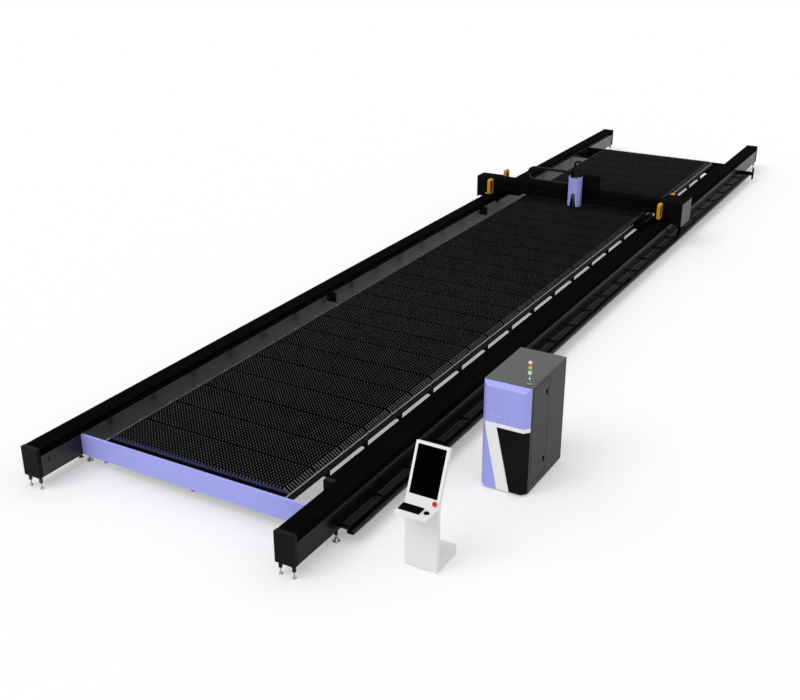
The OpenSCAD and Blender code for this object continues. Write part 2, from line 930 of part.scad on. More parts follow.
// Arms under the shelf, ribs on it, and the stop across the far end
module trough_brackets() {
    under = trough_z1 - trough_sheet;
    stop_x1 = trough_x1 + 50;
    stop_z0 = groove_z + 40;
    color(black) {
        for (i = [0 : bracket_count]) {
            y = trough_y0 + bracket_w + i * bracket_pitch;
            box(
                [rail_out, y - bracket_w / 2, under - bracket_h],
                [groove_x0 - trough_sheet, y + bracket_w / 2, under]
            );
            box([trough_x0, y - rib_t / 2, trough_z1], [groove_x0, y + rib_t / 2, trough_z1 + rib_h]);
        }
        box([rail_out, trough_y1, stop_z0], [stop_x1 + eps, trough_y1 + stop_bar_w, stop_z0 + stop_bar_h]);
        translate([
            stop_x1, trough_y1 + (stop_bar_w - stop_plate_d) / 2, stop_z0 + (stop_bar_h - stop_plate_h) / 2
        ])
            cube([stop_plate_t, stop_plate_d, stop_plate_h]);
    }
}

// Energy chain lying in the far half of the groove
module trough_chain() {
    x0 = (groove_x0 + groove_x1 - trough_link_w) / 2;
    color("#202022")
        for (i = [0 : trough_link_count - 1])
            translate([x0, trough_chain_y0 + i * trough_link_len, groove_z])
                cube([trough_link_w, trough_link_len - chain_gap, trough_link_h]);
}

// Sheet housing with a thick door frame on its right side
module cabinet_body() {
    t = cabinet_sheet;
    color(cabinet_grey) {
        difference() {
            box([cabinet_x, body_y, cabinet_z0], [cabinet_x1, cabinet_y1, cabinet_h]);
            box(
                [cabinet_x + t, body_y + t, cabinet_z0 + t],
                [cabinet_x1 - door_wall, cabinet_y1 - t, cabinet_h - t]
            );
            box(
                [cabinet_x1 - door_wall - eps, hinge_y, door_z0 - door_gap],
                [cabinet_x1 + eps, door_y0 + door_w + door_gap, door_z0 + door_h + door_gap]
            );
            translate([hinge_x, hinge_y, door_z0 - door_gap])
                cylinder(r = hinge_r + door_gap, h = door_h + 2 * door_gap);
            box(
                [hinge_x, hinge_y - hinge_r - door_gap, door_z0 - door_gap],
                [cabinet_x1 + eps, hinge_y + eps, door_z0 + door_h + door_gap]
            );
            translate([hinge_x, hinge_y, door_z0 - hinge_pin_len - door_gap])
                cylinder(r = hinge_pin_r + shaft_fit, h = door_h + 2 * hinge_pin_len + 2 * door_gap);
        }
        for (x = [cabinet_x + cabinet_foot_inset, cabinet_x1 - cabinet_foot_inset])
            for (y = [body_y + cabinet_foot_inset, cabinet_y1 - cabinet_foot_inset])
                translate([x, y, 0])
                    cylinder(r = cabinet_foot_r, h = cabinet_z0 + eps);
    }
}

// Front cover of the cabinet: chamfered corners and a sloped top edge
module front_cover() {
    difference() {
        translate([0, 0, cabinet_z0])
            linear_extrude(cabinet_h - cabinet_z0)
                polygon([
                    [cabinet_x + chamfer_w, cabinet_y], [cabinet_x1 - chamfer_w, cabinet_y],
                    [cabinet_x1, body_y], [cabinet_x, body_y]
                ]);
        along_x(cabinet_x - eps, cabinet_x1 + eps)
            polygon([
                [cabinet_y - eps, cabinet_h - slope_h], [cabinet_y, cabinet_h - slope_h],
                [cabinet_y + slope_d, cabinet_h + eps], [cabinet_y - eps, cabinet_h + eps]
            ]);
    }
}

// Corner points of the stripe's outer and inner edges, in x and z
stripe_outer = [
    [cabinet_x + stripe_x + stripe_run, cabinet_z0 - eps], [cabinet_x + stripe_x, stripe_z1],
    [cabinet_x1 + eps, stripe_z1]
];
stripe_inner = [
    [cabinet_x + stripe_x + stripe_run + stripe_w, cabinet_z0 - eps],
    [cabinet_x + stripe_x + stripe_w, stripe_z1 - stripe_band], [cabinet_x1 + eps, stripe_z1 - stripe_band]
];

module cabinet_front_lilac() {
    color(lilac)
        intersection() {
            front_cover();
            along_y(cabinet_y - eps, body_y + eps)
                polygon(concat(
                    stripe_outer,
                    [
                        [cabinet_x1 + eps, cabinet_h + eps], [cabinet_x - eps, cabinet_h + eps],
                        [cabinet_x - eps, cabinet_z0 - eps]
                    ]
                ));
        }
}

module cabinet_front_stripe() {
    color(white)
        intersection() {
            front_cover();
            along_y(cabinet_y - eps, body_y + eps)
                polygon([
                    stripe_outer[0], stripe_outer[1], stripe_outer[2],
                    stripe_inner[2], stripe_inner[1], stripe_inner[0]
                ]);
        }
}

module cabinet_front_black() {
    color(black)
        intersection() {
            translate([0, black_inset, 0])
                front_cover();
            along_y(cabinet_y - eps, body_y)
                polygon([
                    stripe_inner[0], stripe_inner[1], stripe_inner[2],
                    [cabinet_x1 + eps, cabinet_z0 - eps]
                ]);
        }
}

// Door with a round hinge edge, pins at its top and bottom, and a recess for each pull
module cabinet_door() {
    color(cabinet_grey)
        difference() {
            union() {
                box(
                    [cabinet_x1 - door_t, hinge_y, door_z0],
                    [cabinet_x1, door_y0 + door_w, door_z0 + door_h]
                );
                translate([hinge_x, hinge_y, door_z0])
                    cylinder(r = hinge_r, h = door_h);
                translate([hinge_x, hinge_y, door_z0 - hinge_pin_len])
                    cylinder(r = hinge_pin_r, h = door_h + 2 * hinge_pin_len);
            }
            for (z = pull_zs)
                translate([cabinet_x1 - pull_d - eps, door_y0 + door_w - pull_inset - pull_w, z - pull_h / 2])
                    cube([pull_d + 2 * eps, pull_w, pull_h]);
        }
}

// Dished finger pulls set into the door
module door_pulls() {
    rim = 6;
    color("#101010")
        for (z = pull_zs)
            translate([cabinet_x1 - pull_d - eps, door_y0 + door_w - pull_inset - pull_w, z - pull_h / 2])
                difference() {
                    cube([pull_d, pull_w, pull_h]);
                    translate([2, rim, rim])
                        cube([pull_d, pull_w - 2 * rim, pull_h - 2 * rim]);
                }
}

module indicator_lamps() {
    color("white")
        for (x = lamp_xs)
            translate([x, cabinet_y, lamp_z])
                rotate([90, 0, 0])
                    cylinder(r = lamp_r, h = lamp_t);
}

// Laser source box on the cabinet floor, with two handles on the side facing the door
module laser_source() {
    x1 = cabinet_x1 - door_wall - 30;
    z0 = cabinet_z0 + cabinet_sheet;
    y0 = door_y0 + 40;
    r = source_handle_r;
    half = source_handle_len / 2;
    color("#6a6c70") {
        box([x1 - source_w, y0, z0], [x1, y0 + source_d, z0 + source_h]);
        for (y = [y0 + source_handle_near, y0 + source_handle_far]) {
            translate([x1 + r + source_handle_gap, y, z0 + source_h / 2 - half])
                cylinder(r = r, h = source_handle_len);
            for (end = [-1, 1])
                translate([x1 - eps, y, z0 + source_h / 2 + end * (half - r)])
                    rotate([0, 90, 0])
                        cylinder(r = r, h = r + source_handle_gap + eps);
        }
    }
}

module at_light(z) {
    translate([light_x, light_y, z])
        children();
}

module stack_light_pole() {
    color(chrome)
        at_light(cabinet_h)
            rotate_extrude()
                polygon([
                    [0, 0], [light_base_r, 0], [light_base_r, 10], [light_pole_r, 22], [light_pole_r, 60],
                    [light_pole_r + 9, 72], [light_pole_r + 9, 92], [light_pole_r, 104],
                    [light_pole_r, light_pole_h], [0, light_pole_h]
                ]);
}

module stack_light_caps() {
    color(white) {
        at_light(light_z0)
            cylinder(r = light_r, h = light_ring_h);
        at_light(lens_z0 + 3 * lens_h)
            rotate_extrude()
                polygon([
                    [0, 0], [light_r, 0], [light_r, light_cap_h - 10],
                    [light_r - 10, light_cap_h], [0, light_cap_h]
                ]);
    }
}

module lens(i) {
    at_light(lens_z0 + i * lens_h)
        cylinder(r = light_r, h = lens_h);
}

module stack_light_green() {
    color("#2fa84f")
        lens(0);
}

module stack_light_amber() {
    color("#e8c11c")
        lens(1);
}

module stack_light_red() {
    color("#c8281e")
        lens(2);
}

// Points on the console's leaning face: run up the face, and depth into it
function lean_point(up, deep) = [
    console_y + up * lean_y + deep * lean_up,
    lean_z + up * lean_up - deep * lean_y
];

// Profile of column, leaning head and base, with a screen recess and a toe slot
module console_body() {
    back_top = lean_point(lean_len, frame_t);
    back_run = (back_top[0] - console_y - column_d) / lean_y;
    back_low = back_top[1] - back_run * lean_up;
    color(white)
        difference() {
            along_x(console_x, console_x + console_w)
                polygon([
                    [console_y, 0], [console_y, lean_z], lean_point(lean_len, 0), back_top,
                    [console_y + column_d, back_low], [console_y + column_d, base_h],
                    [console_y + base_d, base_h], [console_y + base_d, 0]
                ]);
            along_x(console_x + screen_margin, console_x + console_w - screen_margin)
                polygon([
                    lean_point(screen_low, -eps), lean_point(lean_len - screen_high, -eps),
                    lean_point(lean_len - screen_high, screen_sink), lean_point(screen_low, screen_sink)
                ]);
            translate([console_x + (console_w - toe_w) / 2, console_y - eps, -eps])
                cube([toe_w, toe_d + eps, toe_h + eps]);
        }
}

module screen_glass() {
    gap = slide_fit;
    color("#050505")
        along_x(console_x + screen_margin + gap, console_x + console_w - screen_margin - gap)
            polygon([
                lean_point(screen_low + gap, screen_sink),
                lean_point(lean_len - screen_high - gap, screen_sink),
                lean_point(lean_len - screen_high - gap, screen_sink - screen_t),
                lean_point(screen_low + gap, screen_sink - screen_t)
            ]);
}

// Shelf with round front corners
module keyboard_shelf() {
    r = 20;
    x0 = console_x + shelf_inset;
    x1 = console_x + console_w - shelf_inset;
    color(white)
        translate([0, 0, shelf_z1 - shelf_t])
            linear_extrude(shelf_t)
                difference() {
                    round_rect([x0, console_y - shelf_d], [x1, console_y + 2 * r], r);
                    translate([x0 - eps, console_y])
                        square([x1 - x0 + 2 * eps, 3 * r]);
                }
}

// Wedge with a low front edge
module keyboard() {
    y0 = console_y + keyboard_y;
    x0 = console_x + 18;
    color("#0c0c0c")
        along_x(x0, x0 + keyboard_w)
            polygon([
                [y0, shelf_z1], [y0 + keyboard_d, shelf_z1], [y0 + keyboard_d, shelf_z1 + keyboard_h],
                [y0, shelf_z1 + keyboard_h / 2]
            ]);
}

module mouse() {
    color("#0c0c0c")
        translate([console_x + mouse_x, console_y + mouse_y, shelf_z1])
            rotate_extrude()
                intersection() {
                    translate([0, -mouse_r * 0.35])
                        circle(mouse_r * 1.06);
                    square([mouse_r, mouse_h]);
                }
}

// Local frame on the leaning face with z pointing out of it
module on_lean(up) {
    place = lean_point(up, 0);
    translate([console_x + estop_x, place[0], place[1]])
        rotate([90 - lean_angle, 0, 0])
            children();
}

module estop_collar() {
    color("#3c3c3e")
        on_lean(estop_up)
            difference() {
                cylinder(r = collar_r, h = collar_h);
                translate([0, 0, collar_h - estop_travel - 1])
                    cylinder(r = estop_stem_r + shaft_fit, h = estop_travel + 2);
            }
}

// Mushroom head on a stem that slides in the collar
module estop_button() {
    foot_z = collar_h;
    color("#d01818")
        on_lean(estop_up)
            rotate_extrude()
                polygon([
                    [0, foot_z - 0.5], [estop_stem_r, foot_z - 0.5],
                    [estop_stem_r, foot_z + estop_travel + 1],
                    [estop_r, foot_z + estop_travel + 1], [estop_r, foot_z + estop_travel + 9],
                    [estop_r - 5, foot_z + estop_travel + 15], [estop_r - 16, foot_z + estop_head_h + 1],
                    [0, foot_z + estop_head_h + 2]
                ]);
}

module gantry_beam() {
    color(black)
        difference() {
            box([-beam_half, beam_y0, beam_z], [beam_half, beam_y1, beam_z1]);
            box(
                [-beam_half - eps, beam_y0 + beam_wall, beam_z + beam_wall],
                [beam_half + eps, beam_y1 - beam_wall, beam_z1 - beam_wall]
            );
        }
}

// Plate that runs into the rail cover, apron beside the rail, and pedestal under the beam end
module carriage(ys) {
    color(black) {
        box([carriage_in, ys[0], plate_z0], [plate_x1, ys[1], plate_z1]);
        box([carriage_in, ys[0], apron_z0], [carriage_in + apron_t, ys[1], plate_z0 + eps]);
        box([carriage_in, beam_y0, plate_z1 - eps], [pedestal_x1, beam_y1, beam_z]);
    }
}

module left_carriage() {
    on_side(-1)
        carriage(left_plate_ys);
}

module right_carriage() {
    on_side(1)
        carriage(right_plate_ys);
}

// Bearing block hanging under the carriage plate and gripping the guide
module bearing_block(y) {
    along_y(y, y + bearing_len)
        difference() {
            translate([guide_x - bearing_w / 2, rail_z1 + bearing_lift])
                square([bearing_w, plate_z0 - rail_z1 - bearing_lift]);
            translate([guide_x, rail_z1])
                polygon(guide_profile(slide_fit));
        }
}

module carriage_bearings() {
    color("#8c9094")
        for (side = [-1, 1]) {
            ys = side < 0 ? left_plate_ys : right_plate_ys;
            on_side(side) {
                bearing_block(ys[0] + 20);
                bearing_block(ys[1] - 20 - bearing_len);
            }
        }
}

// Open-bottomed sheet housing over a beam end, longer outside the rail
module end_cover(ys) {
    t = end_cover_sheet;
    step_x = rail_out + 30;
    color(black)
        difference() {
            along_y(ys[0], ys[1])
                polygon([
                    [cover_in, end_cover_step_z], [step_x, end_cover_step_z], [step_x, end_cover_z0],
                    [cover_out, end_cover_z0], [cover_out, end_cover_z1], [cover_in, end_cover_z1]
                ]);
            box(
                [cover_in + t, ys[0] + t, end_cover_z0 - eps],
                [cover_out - t, ys[1] - t, end_cover_z1 - t]
            );
            box(
                [cover_in - eps, beam_y0 - slide_fit, beam_z - slide_fit],
                [cover_in + t + eps, beam_y1 + slide_fit, beam_z1 + slide_fit]
            );
        }
}

module left_end_cover() {
    on_side(-1)
        end_cover(left_cover_ys);
}

module right_end_cover() {
    on_side(1)
        end_cover(right_cover_ys);
}

// Loop with an upright slot, standing from y to y + bumper_d
module bumper(y) {
    z0 = bumper_z1 - bumper_h;
    slot_y = y + (bumper_d - bumper_slot_d) / 2;
    slot_z = z0 + (bumper_h - bumper_slot_h) / 2;
    along_x(bumper_x1 - bumper_t, bumper_x1)
        difference() {
            round_rect([y, z0], [y + bumper_d, bumper_z1], bumper_round);
            round_rect(
                [slot_y, slot_z], [slot_y + bumper_slot_d, slot_z + bumper_slot_h], bumper_slot_d / 2 - 1
            );
        }
}

module safety_bumpers() {
    arm_x = bumper_x1 - bumper_t / 2 - arm_w / 2;
    arm_z = bumper_z1 - bumper_h / 2 - arm_h / 2;
    color(ochre) {
        on_side(-1) {
            translate([left_front_shift, 0, 0])
                bumper(left_cover_ys[0] - bumper_d);
            translate([0, 0, left_rear_lift]) {
                bumper(left_cover_ys[1] + left_rear_arm);
                translate([arm_x, left_cover_ys[1], arm_z])
                    cube([arm_w, left_rear_arm, arm_h]);
            }
        }
        on_side(1) {
            bumper(right_cover_ys[0] - bumper_d);
            bumper(right_cover_ys[1]);
        }
    }
}

// Closed motor and gear housing with a shaft bore towards the rail and bolts on its top
module drive_unit(ys) {
    c = drive_chamfer;
    mid = (ys[0] + ys[1]) / 2;
    difference() {
        along_y(ys[0], ys[1])
            polygon([
                [drive_in, apron_z0], [drive_out, apron_z0], [drive_out, drive_z1],
                [drive_in + c, drive_z1], [drive_in, drive_z1 - c]
            ]);
        translate([drive_out - pinion_seat - eps, mid, pinion_z])
            rotate([0, 90, 0])
                cylinder(r = pinion_shaft_r + shaft_fit, h = pinion_seat + 2 * eps);
    }
    for (x = [0.2, 0.5, 0.8], y = [ys[0] + 50, ys[1] - 50])
        translate([drive_in + x * (drive_out - drive_in), y, drive_z1 - eps]) {
            cylinder(r = bolt_r, h = bolt_h + eps);
            translate([0, 0, bolt_h])
                cylinder(r = bolt_head_r, h = bolt_head_h, $fn = 6);
        }
}

module drive_units() {
    color(black) {
        on_side(-1)
            drive_unit(left_drive_ys);
        on_side(1)
            drive_unit(right_drive_ys);
    }
}

// Pinion on its shaft, from the housing's bore to the rack
module rail_pinion(ys) {
    y = (ys[0] + ys[1]) / 2;
    color("#a8aab0") {
        translate([pinion_x0, y, pinion_z])
            rotate([0, 90, 0])
                pinion_gear(pinion_r, pinion_x1 - pinion_x0);
        translate([drive_out - pinion_seat + 2, y, pinion_z])
            rotate([0, 90, 0])
                cylinder(r = pinion_shaft_r, h = pinion_x1 - drive_out + pinion_seat - 2);
    }
}

module left_pinion() {
    on_side(-1)
        rail_pinion(left_drive_ys);
}

module right_pinion() {
    on_side(1)
        rail_pinion(right_drive_ys);
}

// Two guide bars on the beam's front and a plain rack bar on its top
module cross_guides() {
    color("#8c9094") {
        for (z = cross_guide_zs)
            box(
                [-cross_guide_half, beam_y0 - cross_guide_d, z - cross_guide_w / 2],
                [cross_guide_half, beam_y0, z + cross_guide_w / 2]
            );
        box(
            [-cross_guide_half, cross_rack_y0, beam_z1],
            [cross_guide_half, cross_rack_y0 + cross_rack_w, beam_z1 + cross_rack_h]
        );
    }
}

// One chain link, drawn along x from 0, with its lower side at z = 0
module chain_link(len) {
    c = link_chamfer;
    along_y(chain_y0, chain_y1)
        polygon([
            [0, c], [c, 0], [len - c - chain_gap, 0], [len - chain_gap, c], [len - chain_gap, link_h - c],
            [len - c - chain_gap, link_h], [c, link_h], [0, link_h - c]
        ]);
}

// Lower run on the beam, loop at its left end, and upper run to the head carriage
module cross_chain() {
    bend = 180 / loop_links;
    chord = 2 * (loop_r - link_h / 2 + link_chamfer) * tan(bend / 2);
    color("#202022") {
        for (i = [0 : lower_links - 1])
            translate([loop_x + i * link_len, 0, chain_z0])
                chain_link(link_len);
        for (i = [0 : upper_links - 1])
            translate([loop_x + i * link_len, 0, chain_top_z - link_h])
                chain_link(link_len);
        for (i = [0 : loop_links - 1])
            translate([loop_x, 0, chain_z0 + loop_d / 2])
                rotate([0, (i + 0.5) * bend, 0])
                    translate([-chord / 2 + chain_gap / 2, 0, -loop_d / 2 + loop_fit])
                        chain_link(chord);
    }
}

// Arm from the right end cover down to the chain groove
module chain_tow_arm() {
    x1 = cover_out - end_cover_sheet;
    foot_x = (groove_x0 + groove_x1) / 2;
    z0 = trough_z1 + 12;
    color(black)
        along_y(tow_y, tow_y + tow_t)
            polygon([
                [foot_x - tow_w / 2, z0], [foot_x + tow_w / 2, z0], [foot_x + tow_w / 2, z0 + 60],
                [x1, end_cover_z0 - 20], [x1, end_cover_z0 + 80], [x1 - tow_w, end_cover_z0 + 80],
                [foot_x - tow_w / 2, z0 + 80]
            ]);
}

// Angle of front plate and top plate, with an arm beside the cross chain
module head_carriage() {
    color(black)
        difference() {
            union() {
                box(
                    [head_x - head_plate_half, head_plate_y0, head_plate_z0],
                    [head_x + head_plate_half, head_plate_y1, top_plate_z1]
                );
                box(
                    [chain_arm_x0, head_plate_y0, top_plate_z0],
                    [drive_box_x1, top_plate_y1, top_plate_z1]
                );
                box(
                    [chain_arm_x0, top_plate_y1 - eps, top_plate_z0],
                    [chain_arm_x1, chain_y0 - slide_fit, top_plate_z1]
                );
                box(
                    [chain_arm_x0, chain_y0 - slide_fit - chain_arm_t, top_plate_z1 - eps],
                    [chain_arm_x1, chain_y0 - slide_fit, chain_top_z]
                );
            }
            translate([cross_pinion_x, cross_pinion_y, top_plate_z0 - eps])
                cylinder(r = cross_pinion_shaft_r + shaft_fit, h = head_plate_t + 2 * eps);
        }
}

// Four blocks on the carriage's back that grip the guide bars
module head_bearings() {
    grow = slide_fit;
    color("#6c7074")
        for (side = [-1, 1], z = cross_guide_zs)
            translate([head_x + side * head_bearing_x - head_bearing_len / 2, 0, 0])
                along_x(0, head_bearing_len)
                    difference() {
                        translate([head_plate_y1, z - bearing_half])
                            square([beam_y0 - head_plate_y1 - 6, 2 * bearing_half]);
                        translate([beam_y0 - cross_guide_d - grow, z - cross_guide_w / 2 - grow])
                            square([cross_guide_d + 2 * grow, cross_guide_w + 2 * grow]);
                    }
}

// Pinion in mesh with the rack bar on the beam, its shaft up in the top plate
module cross_pinion() {
    z0 = beam_z1 + 2;
    color("#a8aab0")
        translate([cross_pinion_x, cross_pinion_y, z0]) {
            pinion_gear(cross_pinion_r, cross_rack_h - 3);
            cylinder(r = cross_pinion_shaft_r, h = top_plate_z1 - z0 - 1);
        }
}

// Motor housing on the top plate, with one rounded corner
module cross_drive_box() {
    r = drive_box_r;
    color(black)
        translate([0, 0, top_plate_z1])
            linear_extrude(drive_box_h) {
                translate([drive_box_x0 + r, drive_box_y0])
                    square([drive_box_x1 - drive_box_x0 - r, top_plate_y1 - drive_box_y0]);
                translate([drive_box_x0, drive_box_y0 + r])
                    square([drive_box_x1 - drive_box_x0, top_plate_y1 - drive_box_y0 - r]);
                translate([drive_box_x0 + r, drive_box_y0 + r])
                    circle(r);
            }
}

function head_outline(inset) = let (half = head_cover_w / 2 - inset) [
    [-half, head_plate_y0], [-half, head_front + head_chamfer_y],
    [-half + head_chamfer_x, head_front + inset], [half - head_chamfer_x, head_front + inset],
    [half, head_front + head_chamfer_y], [half, head_plate_y0]
];

// Folded cover with a fork slot at the bottom and a dip in its top edge
module head_cover() {
    dip_half = head_cover_w / 2 - head_chamfer_x;
    fork_r = fork_w / 2;
    color(lilac)
        translate([head_x, 0, 0])
            difference() {
                translate([0, 0, head_cover_z0])
                    linear_extrude(head_cover_h)
                        difference() {
                            polygon(head_outline(0));
                            polygon(concat(
                                [[-head_cover_w / 2 + head_sheet, head_plate_y0 + eps]],
                                head_outline(head_sheet),
                                [[head_cover_w / 2 - head_sheet, head_plate_y0 + eps]]
                            ));
                        }
                box(
                    [-dip_half, head_front - eps, head_cover_z1 - cover_dip],
                    [dip_half, head_front + head_sheet + eps, head_cover_z1 + eps]
                );
                along_y(head_front - eps, head_front + head_sheet + eps)
                    polygon([
                        [-fork_mouth_w / 2, head_cover_z0 - eps], [fork_mouth_w / 2, head_cover_z0 - eps],
                        [fork_r, head_cover_z0 + fork_h - fork_r], [-fork_r, head_cover_z0 + fork_h - fork_r]
                    ]);
                translate([0, head_front - eps, head_cover_z0 + fork_h - fork_r])
                    rotate([-90, 0, 0])
                        cylinder(r = fork_r, h = head_sheet + 2 * eps);
            }
}

// Upside-down U of hose carrier standing on the top plate
module hose_arch() {
    bend_z = arch_top_z - arch_r;
    color("#1c1c1e")
        translate([head_x, arch_y0 + arch_w, 0]) {
            translate([0, 0, bend_z])
                rotate([90, 0, 0])
                    rotate_extrude(angle = 180)
                        translate([arch_r - arch_t, 0])
                            square([arch_t, arch_w]);
            for (x = [-arch_r, arch_r - arch_t])
                translate([x, -arch_w, top_plate_z1])
                    cube([arch_t, arch_w, bend_z - top_plate_z1]);
        }
}

// Closed lift unit on the carriage's front plate
module z_actuator() {
    color("#2a2a2c")
        box(
            [head_x - actuator_half, head_plate_y0 - actuator_d, actuator_z0],
            [head_x + actuator_half, head_plate_y0, actuator_z1]
        );
}

// Slide plate, focusing block, collimator and tapered snout
module cutting_head() {
    slide_y1 = head_plate_y0 - actuator_d - slide_fit;
    color("#8a8c92") {
        box([head_x - slide_half, slide_y1 - slide_t, slide_z0], [head_x + slide_half, slide_y1, slide_z1]);
        box(
            [head_x - head_block_half, slide_y1 - slide_t - head_block_d, slide_z0],
            [head_x + head_block_half, slide_y1 - slide_t + eps, slide_z1]
        );
        translate([head_x, head_y, slide_z1 - eps])
            cylinder(r = head_r, h = collimator_z1 - slide_z1 + eps);
        translate([head_x, head_y, 0])
            rotate_extrude()
                polygon([
                    [0, nozzle_z1], [17, nozzle_z1], [22, nozzle_z1 + 30], [head_r, nozzle_z1 + 60],
                    [head_r, slide_z0 + eps], [0, slide_z0 + eps]
                ]);
    }
}

// Copper nozzle with its gas bore
module nozzle() {
    color("#b87333")
        translate([head_x, head_y, nozzle_tip_z])
            rotate_extrude()
                polygon([
                    [2, 0], [5, 0], [14, 22], [14, 34], [17, 40], [17, nozzle_z1 - nozzle_tip_z],
                    [2, nozzle_z1 - nozzle_tip_z]
                ]);
}

left_rail_beam();
right_rail_beam();
rail_covers();
rail_end_caps();
rail_guides();
leveling_feet();
front_panel();
rear_panel();
front_ledge();
bed_front_bar();
bed_frame();
slat_support_bars();
bed_slats();
side_deflectors();
rail_stop_blocks();
chain_trough();
trough_brackets();
trough_chain();
cabinet_body();
cabinet_front_lilac();
cabinet_front_stripe();
cabinet_front_black();
cabinet_door();
door_pulls();
indicator_lamps();
laser_source();
stack_light_pole();
stack_light_caps();
stack_light_green();
stack_light_amber();
stack_light_red();
console_body();
screen_glass();
keyboard_shelf();
keyboard();
mouse();
estop_collar();
estop_button();
gantry_beam();
left_carriage();
right_carriage();
carriage_bearings();
left_end_cover();
right_end_cover();
safety_bumpers();
drive_units();
left_pinion();
right_pinion();
cross_guides();
cross_chain();
chain_tow_arm();
head_carriage();
head_bearings();
cross_pinion();
cross_drive_box();
head_cover();
hose_arch();
z_actuator();
cutting_head();
nozzle();
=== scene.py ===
import json
import math

import bpy
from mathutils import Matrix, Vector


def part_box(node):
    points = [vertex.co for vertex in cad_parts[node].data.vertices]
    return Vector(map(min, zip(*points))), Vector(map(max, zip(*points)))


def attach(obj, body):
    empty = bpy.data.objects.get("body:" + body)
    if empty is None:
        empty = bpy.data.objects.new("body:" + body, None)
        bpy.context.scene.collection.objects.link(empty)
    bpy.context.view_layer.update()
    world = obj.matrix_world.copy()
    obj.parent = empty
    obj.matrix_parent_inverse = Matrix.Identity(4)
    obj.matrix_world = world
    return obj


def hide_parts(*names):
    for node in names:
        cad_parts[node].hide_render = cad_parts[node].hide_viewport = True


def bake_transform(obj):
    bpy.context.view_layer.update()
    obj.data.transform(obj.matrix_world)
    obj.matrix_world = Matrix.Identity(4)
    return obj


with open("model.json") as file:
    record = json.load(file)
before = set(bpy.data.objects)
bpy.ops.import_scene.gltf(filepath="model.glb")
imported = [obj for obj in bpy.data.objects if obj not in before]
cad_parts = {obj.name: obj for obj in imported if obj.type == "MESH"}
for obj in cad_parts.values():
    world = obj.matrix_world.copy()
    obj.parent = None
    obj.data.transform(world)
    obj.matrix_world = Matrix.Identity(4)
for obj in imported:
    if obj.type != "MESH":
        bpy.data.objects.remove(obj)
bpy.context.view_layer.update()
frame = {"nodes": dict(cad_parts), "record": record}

MM = 0.001
nodes = frame["nodes"]


def span(node):
    """Corners of a CAD node at rest, in millimetres."""
    lo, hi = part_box(node)
    return [v / MM for v in lo], [v / MM for v in hi]


# Slats: sizes in millimetres
lo, hi = span("bed_slats")
SLAT_X, SLAT_Y0, SLAT_Z0, SLAT_Z1 = hi[0], lo[1], lo[2], hi[2]
SLAT_T, SLAT_PITCH = 4, 60
CASSETTES, PER_CASSETTE, CASSETTE_PITCH = 30, 11, 695
SLOPE, SHOULDER = 85, 55
TEETH, TOOTH_DEPTH, TIP = 54, 52, 5


# Materials. Texture coordinates are in metres, in the frame of the machine.

# Slats: painted shade below the tooth tips, and a darkening towards the far end of the bed: where
# along the bed the darkening starts and where it is strongest, the share of bright metal that is
# left there, and how steeply the painted shade closes in below the tips
FAR_FADE_FROM, FAR_FADE_TO, FAR_FADE_LEFT, TIP_SHADE_POWER = -11, 0, 0.42, 2
# Black of the painted shade on the slats and in the trough's groove
SHADE_BLACK = (0.0008, 0.0008, 0.0008, 1)
# Upward part of a face's normal where the painted light on the top sets in and where it is full
LIT_TOP_FROM, LIT_TOP_FULL = 0.5, 0.9
# Roughness: spread to either side, the least of a surface, and that of a clear coat
ROUGH_SPREAD, ROUGH_LEAST, COAT_ROUGH = 0.08, 0.02, 0.08
# Detail of the noise for tone and for grain, and depth of the grain as a share of its size
TONE_DETAIL, GRAIN_DETAIL, GRAIN_DEPTH = 6, 3, 0.25
FINISH = {}


def rgb(r, g, b):
    """Display colour from 0 to 255 as linear light."""
    shares = [c / 255 for c in (r, g, b)]
    return tuple(((c + 0.055) / 1.055) ** 2.4 if c > 0.04 else c / 12.92 for c in shares) + (1,)


def tinted(colour, share):
    """Colour made lighter or darker."""
    return tuple(min(1, c * share) for c in colour[:3]) + (1,)


def maths(tree, operation, *values):
    """Output of one maths node; a value is a number or another node's output."""
    node = tree.nodes.new("ShaderNodeMath")
    node.operation = operation
    for slot, value in zip(node.inputs, values):
        if isinstance(value, (int, float)):
            slot.default_value = value
        else:
            tree.links.new(value, slot)
    return node.outputs[0]


def remap(tree, value, from_min, from_max, to_min, to_max):
    """Output of one map range node."""
    node = tree.nodes.new("ShaderNodeMapRange")
    node.inputs["From Min"].default_value = from_min
    node.inputs["From Max"].default_value = from_max
    node.inputs["To Min"].default_value = to_min
    node.inputs["To Max"].default_value = to_max
    tree.links.new(value, node.inputs["Value"])
    return node.outputs["Result"]


def mixed(tree, factor, a, b):
    """Output of one colour mix; a and b are colours or other nodes' outputs."""
    node = tree.nodes.new("ShaderNodeMix")
    node.data_type = "RGBA"
    tree.links.new(factor, node.inputs["Factor"])
    for slot, value in (("A", a), ("B", b)):
        if isinstance(value, tuple):
            node.inputs[slot].default_value = value
        else:
            tree.links.new(value, node.inputs[slot])
    return node.outputs["Result"]


def noise(tree, vector, size, detail):
    """Output of one noise texture, with its size in metres."""
    node = tree.nodes.new("ShaderNodeTexNoise")
    node.inputs["Scale"].default_value = 1 / size
    node.inputs["Detail"].default_value = detail
    tree.links.new(vector, node.inputs["Vector"])
    return node.outputs["Fac"]


def split(tree, vector):
    """The x, y and z outputs of a vector."""
    node = tree.nodes.new("ShaderNodeSeparateXYZ")
    tree.links.new(vector, node.inputs["Vector"])
    return [node.outputs[axis] for axis in "XYZ"]


